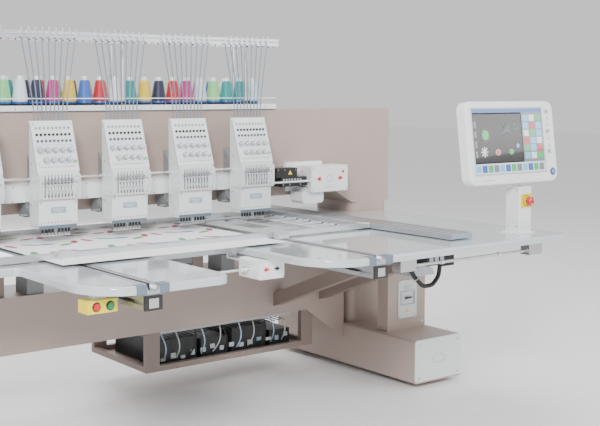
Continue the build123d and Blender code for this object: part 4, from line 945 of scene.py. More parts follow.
    def _covers(self) -> None:
        """Dots, plain label, screws and lower edge of the front covers."""
        bits = []
        face = 117.0
        for x in self._columns(self.pitch, self.needles):
            bits.append(Shape.rod((x, face + 0.3, 890.0), (x, face - 0.5, 890.0), 2.4, 12)
                        .wear(Finish.DOT_RED))
        plate = Shape.box((-34.0, face - 0.8, 926.0), (34.0, face + 0.3, 950.0)).soften(0.5, 2)
        bits.append(plate.wear(Finish.BLUE_GREY))
        for z, half in ((942.0, 24.0), (934.0, 16.0)):
            bits.append(Shape.box((-half, face - 1.1, z - 1.0), (half, face - 0.6, z + 1.0))
                        .wear(Finish.STICKER_WHITE))
        for x, z in ((-76.0, 968.0), (76.0, 968.0), (-76.0, 888.0), (76.0, 888.0)):
            bits.append(screw((x, face, z), (0, -1, 0), 3.4))
        lip = Shape.box((-85.0, 114.0, 878.0), (85.0, 117.4, 881.5)).soften(0.8, 1).wear(Finish.CASE_GREY)
        bits.append(lip)
        for side in (-1, 1):
            plate = Shape.slab([(side * 89.2, 96.0, 986.0), (side * 89.2, 180.0, 986.0),
                                (side * 89.2, 180.0, 1074.0),
                                (side * 89.2, 108.0, 1074.0), (side * 89.2, 96.0, 1060.0)], (side * 0.9, 0,
                                                                                             0))
            bits.append(plate.soften(0.4, 1).wear(Finish.CASE_WHITE))
            for y, z in ((170.0, 1064.0), (170.0, 996.0), (112.0, 996.0)):
                bits.append(screw((side * 90.0, y, z), (side, 0, 0), 3.2))
            bits.append(screw((side * 85.0, 150.0, 905.0), (side, 0, 0), 4.0))
            bits.append(screw((side * 85.0, 182.0, 958.0), (side, 0, 0), 4.0))
            bits.append(screw((side * 85.0, 175.0, 1120.0), (side, 0, 0), 3.6))
        keep(spread(join(bits)), "cover_trim", "case_carriage")

    def _feet(self) -> None:
        """Needle clamp screws, springs and black foot holders."""
        idle, bars = [], []
        for i, x in enumerate(self._columns(self.pitch, self.needles)):
            active = i == self.needles // 2
            tip = 833.0
            clamp = [Shape.rod((x, 145.6, tip + 35), (x, 138.5, tip + 35), 1.9, 10).smooth()
                     .wear(Finish.BLACK),
                     Shape.ring((x, 150.0, tip + 42.5), (0, 0, 1), 4.3, 0.9, 16,
                                6).smooth().wear(Finish.BRASS)]
            (bars if active else idle).extend(clamp)
        columns = self._columns(self.pitch, self.needles)
        coil = Shape.ring((0, 150.0, 884.0), (0, 0, 1), 4.6, 0.7, 14, 5).smooth().wear(Finish.STEEL)
        idle.append(coil.copies([(x, 0.0, 3.1 * k) for x in columns for k in range(14)]))
        block = Shape.box((-4.6, 140.5, 899.0), (4.6, 146.0, 907.0)).soften(1.0, 1).wear(Finish.BLACK)
        idle.append(block.copies([(x, 0.0, 0.0) for x in columns]))
        holder = Shape.box((-3.6, 137.5, 846.0), (3.6, 145.0, 868.0)).soften(1.0, 1).wear(Finish.BLACK)
        idle.append(holder.copies([(x, 0.0, 0.0) for x in columns if abs(x) > 1.0]))
        rail = Shape.box((-84.0, 119.6, 865.0), (84.0, 122.0, 879.0)).soften(0.8, 1).wear(Finish.SLATE_BLUE)
        idle.append(rail)
        keep(spread(join(idle)), "needle_fittings", "case_carriage")
        keep(spread(join(bars)), "active_clamp_screws", "needle_bars")

    def _needle_plates(self) -> None:
        """Stitch hole insert, screws and slots of the needle plates."""
        low, high = node_box("needle_plates")
        y0, y1, top = low.y, high.y, high.z
        bits = [Shape.ring((0, 150.0, top - 0.3), (0, 0, 1), 10.0, 0.9, 28, 6).smooth().wear(Finish.STEEL),
                Shape.rod((0, 150.0, top - 0.5), (0, 150.0, top + 0.25), 2.0, 14).wear(Finish.DARK)]
        for x, y in ((-36.0, y0 + 10), (36.0, y0 + 10), (-36.0, y1 - 10), (36.0, y1 - 10)):
            bits.append(screw((x, y, top - 1.2), (0, 0, 1), 4.2, 1.5))
        for y in (y0 + 24, y0 + 34, y0 + 44):
            bits.append(Shape.box((-26.0, y, top - 0.2), (26.0, y + 1.2, top + 0.2)).wear(Finish.CASE_GREY))
        keep(spread(join(bits)), "needle_plate_fittings", "frame")

    def _arms(self) -> None:
        """Bolts, pipes and cable ties on the castings behind the cases."""
        bits = []
        for side in (-1, 1):
            for y, z in ((225.0, 930.0), (280.0, 925.0), (285.0, 1010.0), (285.0, 1060.0)):
                bits.append(screw((side * 46.0, y, z), (side, 0, 0), 5.0, 3.0))
        for x, z in ((-56.0, 940.0), (-62.0, 1000.0)):
            bits.append(Shape.rod((x, 236.0, z), (x, 302.0, z - 8.0), 3.4, 12).smooth().wear(Finish.RUBBER))
            bits.append(Shape.box((x - 6.0, 228.0, z - 7.0), (x + 10.0, 242.0, z + 7.0)).soften(1.5, 2)
                        .wear(Finish.BLACK))
        keep(spread(join(bits)), "arm_fittings", "frame")


@dataclass
class ThreadRack:
    """Cones of thread, hooks of the guide bar, and tray fittings."""

    rows: tuple[float, float] = (365.0, 490.0)
    pitch: float = 75.0
    radius: float = 33.0
    height: float = 115.0
    base: float = 1358.0
    colours: tuple[Colour, ...] = ((0.80, 0.56, 0.03), (0.012, 0.014, 0.05), (0.50, 0.012, 0.20),
                                   (0.50, 0.010, 0.020), (0.006, 0.27, 0.26), (0.24, 0.60, 0.24),
                                   (0.66, 0.76, 0.86), (0.03, 0.12, 0.48), (0.86, 0.84, 0.78))
    order: tuple[int, ...] = (0, 1, 2, 3, 4, 5, 6, 1, 2, 0, 7, 3, 8, 4, 0, 1, 3, 2, 6, 5, 4)

    def build(self) -> None:
        """Makes the cones, the tray fittings and the guide hooks."""
        self._cones()
        self._tray()
        self._guides()
        self._tubes()

    def places(self) -> list[tuple[float, float]]:
        """Centre of every cone."""
        low, high = node_box("thread_cones")
        count = round((high.x - low.x - 2 * self.radius) / self.pitch) + 1
        first = low.x + self.radius
        return [(first + self.pitch * i, y) for y in self.rows for i in range(count)]

    def _cones(self) -> None:
        """Wound cones, each in its colour, with a blue foot and a white core."""
        order = list(self.order)
        groups: dict[int, list[tuple[float, float]]] = {}
        for i, place in enumerate(self.places()):
            row = i // 21
            colour = order[(i * (1 if row == 0 else 2) + row * 4) % len(order)]
            groups.setdefault(colour, []).append(place)
        for number, (colour, places) in enumerate(sorted(groups.items())):
            cone = self._cone(Thread(f"thread_{number + 1}", self.colours[colour]).build())
            made = cone.copies([(x, y, 0.0) for x, y in places])
            names = ("thread_cones",) if number == 0 else ()
            keep(made, f"wound_cones_{number + 1}", "frame", names)

    def _cone(self, thread: bpy.types.Material) -> Shape:
        """One wound cone at the origin."""
        b, r = self.base, self.radius
        wound = []
        rings = ((8.0, r - 2.5), (12.0, r - 0.8), (18.0, r - 0.4), (62.0, r - 6.6), (94.0, r - 12.0),
                 (99.0, r - 14.5))
        for (z0, r0), (z1, r1) in zip(rings, rings[1:]):
            wound.append(Shape.rod((0, 0, b + z0), (0, 0, b + z1), r0, 32, end_radius=r1))
        body = join(wound).smooth(50)
        body.obj.data.materials.clear()
        body.obj.data.materials.append(thread)
        foot = Shape.rod((0, 0, b), (0, 0, b + 8.5), r - 0.5, 32,
                         end_radius=r - 1.5).soften(0.8, 2).smooth()
        core = Shape.rod((0, 0, b + 98.5), (0, 0, b + self.height), 13.5, 24,
                         end_radius=11.0).soften(0.8, 1).smooth()
        hole = Shape.rod((0, 0, b + self.height - 0.2), (0, 0, b + self.height + 0.15), 7.5,
                         16).wear(Finish.DARK)
        return join([body, foot.wear(Finish.BLUE), core.wear(Finish.CASE_WHITE), hole])

    def _tray(self) -> None:
        """Edge strip, screws and cone seats of the tray."""
        low, high = node_box("rack_tray")
        strip = Shape.box((low.x + 1, low.y - 0.6, low.z + 0.5),
                          (high.x - 1, low.y + 1, low.z + 4.0)).wear(Finish.DARK)
        bits = [strip]
        lip = Shape.box((low.x, low.y - 1.4, high.z - 3.5),
                        (high.x, low.y + 1, high.z + 0.8)).soften(1.0, 2)
        bits.append(lip.wear(Finish.WHITE))
        for i in range(9):
            x = low.x + 60 + i * (high.x - low.x - 120) / 8
            bits.append(screw((x, low.y, low.z + 14.0), (0, -1, 0), 3.6))
        pad = Shape.rod((0, 0, 1349.5), (0, 0, 1358.2), 30.5,
                        28).soften(1.0, 1).smooth().wear(Finish.RUBBER)
        bits.append(pad.copies([(x, y, 0.0) for x, y in self.places()]))
        keep(join(bits), "tray_fittings", "frame")

    def _guides(self) -> None:
        """Black hooks with red sleeves under the guide bar, a groove along the bar and black seats of the
        poles.
        """
        low, high = node_box("rack_frame")
        bits = []
        count = 56
        sleeve = Shape.rod((0, 0, 1612.0), (0, 0, 1622.0), 3.0, 12, end_radius=2.4).smooth()
        places = [(low.x + 24.0 + i * (high.x - low.x - 48.0) / (count - 1), 206.0) for i in range(count)]
        bits.append(sleeve.wear(Finish.RED)
                    .copies([(x, y, 0.0) for i, (x, y) in enumerate(places) if i % 2]))
        dark = Shape.rod((0, 0, 1611.0), (0, 0, 1624.0), 3.2, 12, end_radius=2.2).smooth()
        bits.append(dark.wear(Finish.BLACK)
                    .copies([(x, y, 0.0) for i, (x, y) in enumerate(places) if not i % 2]))
        groove = Shape.box((low.x + 2, 192.2, 1634.5), (high.x - 2, 193.2, 1638.5)).wear(Finish.CASE_GREY)
        bits.append(groove)
        for x in (763.0, 93.0, -577.0):
            for y in (330.0, 426.0):
                seat = Shape.rod((x, y, 1349.0), (x, y, 1366.0), 15.0, 24,
                                 end_radius=11.5).soften(1.0, 1).smooth()
                bits.append(seat.wear(Finish.BLACK))
        keep(join(bits), "guide_fittings", "frame")

    def _tubes(self) -> None:
        """Thread tubes that bend between the guide bar and the sliding needle cases."""
        tubes = []
        for x in head_places():
            for i in range(-4, 5):
                start = Vector((x + 30.0 * i, 192.0, 1624.0))
                knee = Vector((x + 18.0 * i, 181.0, 1354.0))
                end = Vector((x + 18.0 * i, 182.0, 1293.0))
                tubes.append(self._tube(start, start.lerp(knee, 0.7), knee, end))
        shape = join(tubes).smooth(60).wear(Finish.TUBE)
        shape.obj.name = shape.obj.data.name = "thread_tube_bundle"
        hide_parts("thread_tubes")
        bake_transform(shape.obj)

    def _tube(self, start: Vector, first: Vector, second: Vector, end: Vector) -> Shape:
        """One round tube along a curve.

        Args:
            start: Upper end.
            first: Handle of the upper end.
            second: Handle of the lower end.
            end: Lower end.

        Returns:
            The tube.
        """
        Shape._clear()
        bpy.ops.curve.primitive_bezier_curve_add()
        curve = bpy.context.object.data
        curve.dimensions = "3D"
        curve.resolution_u, curve.bevel_resolution = 14, 2
        curve.bevel_depth, curve.use_fill_caps = 2.4 * MM, True
        for point, co, handle in ((curve.splines[0].bezier_points[0], start, first),
                                  (curve.splines[0].bezier_points[1], end, second)):
            point.handle_left_type = point.handle_right_type = "FREE"
            point.co = co * MM
            point.handle_left = point.handle_right = handle * MM
        bpy.ops.object.convert(target="MESH")
        return Shape._new()


@dataclass
class SashFrame:
    """Stretched cloth with its motifs, binding, screws of the sash bars and the cross bar's end."""

    low: Point = (-970.0, -208.0, 807.0)
    high: Point = (820.0, 427.0, 808.2)
    pitch: float = 330.0

    def build(self) -> None:
        """Makes the cloth and the fittings of the sash frame."""
        self._cloth()
        self._bar_screws()
        self._lacing()
        self._clamps()

    def _cloth(self) -> None:
        """Cloth held flat in the frame, slightly slack between its clips."""
        x0, y0, z0 = self.low
        x1, y1, _ = self.high
        Shape._clear()
        bpy.ops.mesh.primitive_grid_add(x_subdivisions=220, y_subdivisions=80, size=1,
                                        location=((x0 + x1) / 2 * MM, (y0 + y1) / 2 * MM, (z0 + 0.3) * MM),
                                        scale=((x1 - x0) * MM, (y1 - y0) * MM, 1.0))
        bpy.ops.object.transform_apply(location=True, rotation=True, scale=True)
        sheet = bpy.context.object
        for vertex in sheet.data.vertices:
            x, y = vertex.co.x / MM, vertex.co.y / MM
            edge = min((x - x0) / 60.0, (x1 - x) / 60.0, (y - y0) / 60.0, (y1 - y) / 60.0, 1.0)
            ripple = math.sin(x / 53.0 + math.sin(y / 90.0)) * math.cos(y / 61.0)
            vertex.co.z += 0.35 * ripple * max(edge, 0.0) * MM
        thick = sheet.modifiers.new("thickness", "SOLIDIFY")
        thick.thickness = 0.6 * MM
        thick.offset = 1.0
        shape = Shape(sheet)._apply(thick).smooth(60)
        shape.obj.data.materials.clear()
        shape.obj.data.materials.append(Embroidery("embroidered_cloth").build())
        cloth = keep(shape, "stretched_cloth", "sash", ("cloth",))

    def _bar_screws(self) -> None:
        """Countersunk screws, seams and corner blocks along the sash bars."""
        low, high = node_box("sash_frame")
        bits = []
        top = high.z
        rows = [(low.x + 40 + i * (high.x - low.x - 80) / 16, y, 0.0) for i in range(17)
                for y in (low.y + 17.0, high.y - 17.0)]
        rows += [(x, low.y + 60 + i * (high.y - low.y - 120) / 6, 0.0) for i in range(7)
                 for x in (low.x + 17.0, high.x - 17.0)]
        bits.append(screw((0, 0, top - 0.6), (0, 0, 1), 4.0, 1.0).copies(rows))
        for y in (low.y + 7.0, low.y + 27.0, high.y - 7.0, high.y - 27.0):
            bits.append(Shape.box((low.x + 30, y - 0.8, top - 0.4), (high.x - 30, y + 0.8, top + 0.15))
                        .wear(Finish.CASE_GREY))
        for x in (low.x + 17.0, high.x - 17.0):
            for y in (low.y + 17.0, high.y - 17.0):
                block = Shape.box((x - 18.0, y - 18.0, top - 3.0),
                                  (x + 18.0, y + 18.0, top + 1.6)).soften(1.2, 2)
                bits.append(block.wear(Finish.GREY_PLATE))
        keep(join(bits), "sash_fittings", "sash")

    def _lacing(self) -> None:
        """White tapes and hooks between the cloth's right edge and the frame."""
        x0, x1 = self.high[0], node_box("sash_frame")[1].x - 34.0
        bits = []
        rows = [(0.0, self.low[1] + 25 + i * (self.high[1] - self.low[1] - 50) / 13,
                 0.0) for i in range(14)]
        tape = Shape.box((x0 - 16, -8.0, 808.6),
                         (x1 - 40, 8.0, 810.0)).soften(0.5, 1).wear(Finish.STICKER_WHITE)
        hook = Shape.rod((x1 - 44, 0, 811.0), (x1 + 2, 0, 813.0), 1.6, 10).smooth().wear(Finish.CHROME)
        clasp = Shape.box((x1 - 52, -10.0, 808.0),
                          (x1 - 40, 10.0, 814.0)).soften(1.4, 2).wear(Finish.CASE_WHITE)
        bits.append(join([tape, hook, clasp]).copies(rows))
        hem = Shape.box((x0 - 12.0, self.low[1], 808.1), (x0 - 2.0, self.high[1], 809.0)).soften(0.3, 1)
        bits.append(hem.wear(Finish.STICKER_WHITE))
        keep(join(bits), "cloth_lacing", "sash")

    def _clamps(self) -> None:
        """Screws and cheeks of the clamps that carry the sash frame on the rails."""
        low, high = node_box("y_clamps")
        bits = []
        for x in (-495.0, 495.0):
            for dx in (-16.0, 16.0):
                bits.append(screw((x + dx, low.y + 14.0, high.z - 0.5), (0, 0, 1), 4.2, 2.0))
            strap = Shape.box((x - 27.0, low.y - 1.0, 806.0), (x + 27.0, low.y + 2.0, 815.0)).soften(1.0, 2)
            bits.append(strap.wear(Finish.CASE_WHITE))
        keep(join(bits), "clamp_fittings", "y_clamps")


@dataclass(frozen=True)
class Embroidery:
    """White woven cloth with coloured leaf-shaped motifs stitched under every head."""

    name: str
    pitch: float = 0.330

    def _leaf(self, nodes: Nodes, x: Value, y: Value, place: tuple[float, float], size: tuple[float, float],
              turn: float) -> Value:
        """1 inside an ellipse in the repeated field of one head."""
        cos, sin = math.cos(turn), math.sin(turn)
        dx, dy = x - place[0], y - place[1]
        along = (dx * cos + dy * sin) * (1.0 / size[0])
        across = (dy * cos - dx * sin) * (1.0 / size[1])
        return (along * along + across * across) * -1.0 + 1.0

    def build(self) -> bpy.types.Material:
        """Makes the material."""
        nodes = Nodes(self.name)
        x, y, _ = nodes.axes()
        field = ((x * (1.0 / self.pitch) + 10.5).fraction() - 0.5) * self.pitch
        weave = (x * 5200.0).wave() * (y * 5200.0).wave()
        fuzz = nodes.noise(900.0, 3.0)
        base = nodes.blend(weave * 0.5 + 0.5, (0.80, 0.81, 0.82), (0.90, 0.90, 0.90))
        stitched = None
        colours = ((0.36, 0.008, 0.02), (0.50, 0.01, 0.20), (0.01, 0.30, 0.28), (0.02, 0.09, 0.42),
                   (0.03, 0.30, 0.08))
        for row in range(3):
            for i in range(5):
                place = (-0.124 + 0.062 * i, -0.12 + row * 0.21 + 0.035 * math.sin(i * 1.9 + row))
                turn = 0.6 * (i - 2) + 0.5 * row
                inside = self._leaf(nodes, field, y, place, (0.040, 0.0150), turn) + (fuzz - 0.5) * 0.25
                mask = inside.above(0.0)
                base = nodes.blend(mask, base, colours[(i + 2 * row) % 5])
                stitched = mask if stitched is None else stitched.larger(mask)
        threads = ((field + y) * 4200.0).wave() * 0.5 + 0.5
        nodes.bump(stitched * threads * 0.6 + stitched * 0.4 + weave * 0.08, 0.0006, 0.8)
        nodes.set(Sheen_Weight=0.2)
        return nodes.set(Base_Color=base, Roughness=fuzz * 0.15 + 0.62)


@dataclass
class ControlPanel:
    """Screen image, keys, screws, vents and emergency stop fittings."""

    hinge: tuple[float, float] = (-678.0, 1050.0)
    lean: float = 7.0
    front: float = -746.0
    screen: tuple[float, float, float, float] = (1137.0, 1056.0, 1587.0, 1329.0)

    def build(self) -> None:
        """Makes the pieces of the panel."""
        self._screen()
        self._keys()
        self._back()
        self._power()
        self._stop()
        self._column()

    def _lean(self, shape: Shape) -> Shape:
        """Leans an upright shape with the panel."""
        return shape.turn(-self.lean, "X", (0.0, *self.hinge))

    def _tile(self, x0: float, z0: float, x1: float, z1: float, finish: Finish,
              depth: float = 0.0) -> Shape:
        """Thin tile on the screen, measured from its lower left corner in shares of its size."""
        sx0, sz0, sx1, sz1 = self.screen
        w, h = sx1 - sx0, sz1 - sz0
        face = self.front + 1.7 - depth
        tile = Shape.box((sx0 + x0 * w, face, sz0 + z0 * h), (sx0 + x1 * w, face + 0.7, sz0 + z1 * h))
        return tile.wear(finish)

    def _screen(self) -> None:
        """Generic screen layout: dark canvas with round shapes, leaves, an icon column and an icon row."""
        bits = [self._tile(0.0, 0.94, 1.0, 1.0, Finish.UI_BLUE, 0.3),
                self._tile(0.70, 0.16, 1.0, 0.94, Finish.UI_GREY, 0.2),
                self._tile(0.0, 0.0, 1.0, 0.16, Finish.UI_PALE, 0.2), self._tile(0.01, 0.18, 0.69, 0.92,
                                                                                 Finish.UI_BLACK, 0.2)]
        for row in range(6):
            for col in range(3):
                x, z = 0.715 + col * 0.095, 0.80 - row * 0.118
                finish = (Finish.UI_SKY, Finish.UI_PALE, Finish.UI_GREEN, Finish.UI_SKY,
                          Finish.UI_RED)[(row * 3 + col) % 5]
                bits.append(self._tile(x, z, x + 0.08, z + 0.10, finish, 0.5))
        for i in range(12):
            x = 0.012 + i * 0.082
            finish = (Finish.UI_SKY, Finish.UI_BLUE, Finish.UI_GREEN, Finish.UI_GREY)[i % 4]
            bits.append(self._tile(x, 0.025, x + 0.068, 0.135, finish, 0.5))
        for i in range(4):
            bits.append(self._tile(0.02, 0.26 + 0.15 * i, 0.045, 0.36 + 0.15 * i, Finish.UI_GREY, 0.5))
        bits.extend(self._motifs())
        keep(self._lean(join(bits)), "screen_layout", "panel")

    def _motifs(self) -> list[Shape]:
        """Round and leaf shapes on the screen's canvas."""
        sx0, sz0, sx1, sz1 = self.screen
        w, h = sx1 - sx0, sz1 - sz0
        face = self.front + 1.3
        made = []

        def disc(u: float, v: float, r: float, finish: Finish, squash: float = 1.0) -> None:
            x, z = sx0 + u * w, sz0 + v * h
            rod = Shape.rod((0, 0.2, 0), (0, -0.6, 0), r, 30)
            rod.obj.data.transform(Matrix.Diagonal((1.0, 1.0, squash, 1.0)))
            rod.obj.data.transform(Matrix.Translation(Vector((x, face, z)) * MM))
            made.append(rod.wear(finish))

        def ring(u: float, v: float, r: float, finish: Finish) -> None:
            x, z = sx0 + u * w, sz0 + v * h
            made.append(Shape.ring((x, face - 0.2, z), (0, 1, 0), r, 1.1, 30, 6).wear(finish))

        disc(0.17, 0.60, 21.0, Finish.UI_GREEN)
        ring(0.17, 0.60, 27.0, Finish.UI_GREY)
        for k in range(7):
            angle = math.radians(90 + (k - 3) * 38)
            tip = (sx0 + 0.47 * w + math.cos(angle) * 46, face, sz0 + 0.66 * h + math.sin(angle) * 40)
            made.append(Shape.rod((sx0 + 0.47 * w, face, sz0 + 0.66 * h), tip, 7.0, 8, end_radius=0.8)
                        .wear(Finish.UI_GREY))
        for k in range(8):
            angle = math.radians(45 * k)
            centre = (sx0 + 0.14 * w, sz0 + 0.34 * h)
            tip = (centre[0] + math.cos(angle) * 22, face, centre[1] + math.sin(angle) * 22)
            made.append(Shape.rod((centre[0], face, centre[1]), tip, 4.2, 8, end_radius=2.6)
                        .wear(Finish.UI_PALE))
        disc(0.33, 0.33, 19.0, Finish.UI_RED, 0.62)
        ring(0.33, 0.33, 12.0, Finish.UI_PALE)
        disc(0.52, 0.33, 15.0, Finish.UI_GREEN, 0.8)
        disc(0.62, 0.42, 9.0, Finish.UI_SKY)
        ring(0.60, 0.72, 12.0, Finish.UI_GREEN)
        return made

    def _keys(self) -> None:
        """Frame of the screen, small keys at the right and seams of the front."""
        sx0, sz0, sx1, sz1 = self.screen
        f = self.front
        bits = []
        for low, high in (((sx0 - 6, f - 0.6, sz0 - 6), (sx0 + 1, f + 4, sz1 + 6)),
                          ((sx1 - 1, f - 0.6, sz0 - 6), (sx1 + 6, f + 4, sz1 + 6)),
                          ((sx0 - 6, f - 0.6, sz0 - 6), (sx1 + 6, f + 4, sz0 + 1)),
                          ((sx0 - 6, f - 0.6, sz1 - 1), (sx1 + 6, f + 4, sz1 + 6))):
            bits.append(Shape.box(low, high).soften(1.0, 2).wear(Finish.CASE_GREY))
        for i in range(7):
            z = sz1 - 14 - i * 29
            key = Shape.box((sx1 + 19, f - 1.8, z - 9), (sx1 + 47, f + 2, z + 9)).soften(1.6, 3).smooth()
            # The pale keys take the glowing screen material: painted glow on keys that give no light.
            bits.append(key.wear(Finish.UI_PALE if i % 3 else Finish.CASE_GREY))
            bits.append(Shape.rod((sx1 + 33, f - 1.7, z), (sx1 + 33, f - 2.1, z), 3.4, 14)
                        .wear(Finish.BLUE))
        bits.append(Shape.rod((1135.0, f + 0.2, 1030.0), (1135.0, f - 0.5, 1030.0), 2.5, 14)
                    .wear(Finish.STICKER_GREEN))
        bits.append(Shape.box((1170.0, f - 0.4, 1028.0), (1245.0, f + 0.3, 1032.0)).wear(Finish.CASE_GREY))
        keep(self._lean(join(bits)), "panel_keys", "panel")

    def _back(self) -> None:
        """Vents, sockets, screws and a seam on the panel's back and edge."""
        back = self.front + 48.0
        bits = []
        for i in range(16):
            x = 1200.0 + i * 11.0
            bits.append(Shape.box((x, back - 0.5, 1250.0), (x + 5.0, back + 0.4, 1310.0)).wear(Finish.DARK))
        for i in range(12):
            x = 1500.0 + i * 9.0
            bits.append(Shape.box((x, back - 0.5, 1270.0), (x + 4.0, back + 0.4, 1305.0)).wear(Finish.DARK))
        for x in (1150.0, 1622.0):
            for z in (1058.0, 1314.0):
                bits.append(screw((x, back, z), (0, 1, 0), 4.5, 1.6))
        plate = Shape.box((1388.0, back - 0.5, 1010.0 + 12), (1530.0, back + 3.0, 1110.0)).soften(1.6, 2)
        bits.append(plate.wear(Finish.GREY_PLATE))
        for i in range(3):
            socket = Shape.box((1180.0 + i * 42, back - 0.5, 1040.0),
                               (1206.0 + i * 42, back + 2.5, 1056.0)).soften(0.8, 1)
            bits.append(socket.wear(Finish.BLACK))
        for z in (1010.4, 1361.6):
            bits.append(Shape.box((1150.0, self.front + 30.0, z - 0.6),
                                  (1620.0, self.front + 31.6, z + 0.6))
                        .wear(Finish.CASE_GREY))
        keep(self._lean(join(bits)), "panel_back", "panel")

    def _power(self) -> None:
        """Ring and mark of the power button."""
        x, z = 1633.0, 1052.0
        f = self.front
        mark = [Shape.ring((x, f - 4.1, z), (0, 1, 0), 6.0, 0.7, 24, 6).wear(Finish.STICKER_WHITE),
                Shape.box((x - 0.8, f - 4.6, z + 2.0),
                          (x + 0.8, f - 3.9, z + 9.0)).wear(Finish.STICKER_WHITE)]
        keep(self._lean(join(mark)), "power_mark", "power_button")
        bezel = Shape.ring((x, f - 0.2, z), (0, 1, 0), 17.4, 1.5, 32, 8).smooth().wear(Finish.CHROME)
        keep(self._lean(bezel), "power_bezel", "panel")

    def _stop(self) -> None:
        """Arrow marks on the mushroom head and screws of its yellow plate."""
        x, y, z = 1458.5, -740.0, 941.0
        marks = []
        for k in range(3):
            angle = math.radians(120 * k)
            for step in range(5):
                a = angle + math.radians(10 * step)
                c = (x + math.cos(a) * 12.5, y - 34.1, z + math.sin(a) * 12.5)
                marks.append(Shape.rod(c, (c[0], c[1] - 0.35, c[2]), 1.3, 8).wear(Finish.STICKER_WHITE))
        marks.append(Shape.ring((x, y - 19.5, z), (0, 1, 0), 18.6, 0.9, 32, 6).smooth().wear(Finish.BLACK))
        keep(join(marks), "stop_marks", "emergency_stop")
        screws = [screw((x + dx, y - 5.0, z + dz), (0, -1, 0), 3.0) for dx in (-27, 27) for dz in (-24, 24)]
        ring = Shape.ring((x, y - 5.2, z), (0, 1, 0), 23.0, 1.3, 32, 6).smooth().wear(Finish.BLACK)
        keep(join([*screws, ring]), "stop_plate_screws", "frame")

    def _column(self) -> None:
        """Foot flange, screws, lid, a seam and two side bolts of the column."""
        bits = []
        flange = Shape.box((1406.0, -752.0, 799.4),
                           (1511.0, -653.0, 805.0)).soften(1.6, 2).wear(Finish.WHITE)
        bits.append(flange)
        for x in (1411.5, 1505.5):
            for y in (-746.0, -659.0):
                bits.append(screw((x, y, 804.6), (0, 0, 1), 4.0, 2.4))
        for z in (830.0, 985.0):
            for y in (-727.0, -678.0):
                bits.append(screw((1418.0, y, z), (-1, 0, 0), 3.4))
                bits.append(screw((1499.0, y, z), (1, 0, 0), 3.4))
        bits.append(Shape.box((1425.0, -665.6, 820.0), (1492.0, -664.2, 980.0)).soften(0.5, 1)
                    .wear(Finish.GREY_PLATE))
        bits.append(Shape.box((1417.4, -740.6, 992.0), (1499.6, -664.4, 993.4)).wear(Finish.CASE_GREY))
        for side in (-1, 1):
            x = 1458.5 + side * 29.0
            bits.append(screw((x, -678.0, 1050.0), (side, 0, 0), 7.0, 4.0))
        keep(join(bits), "column_fittings", "frame")


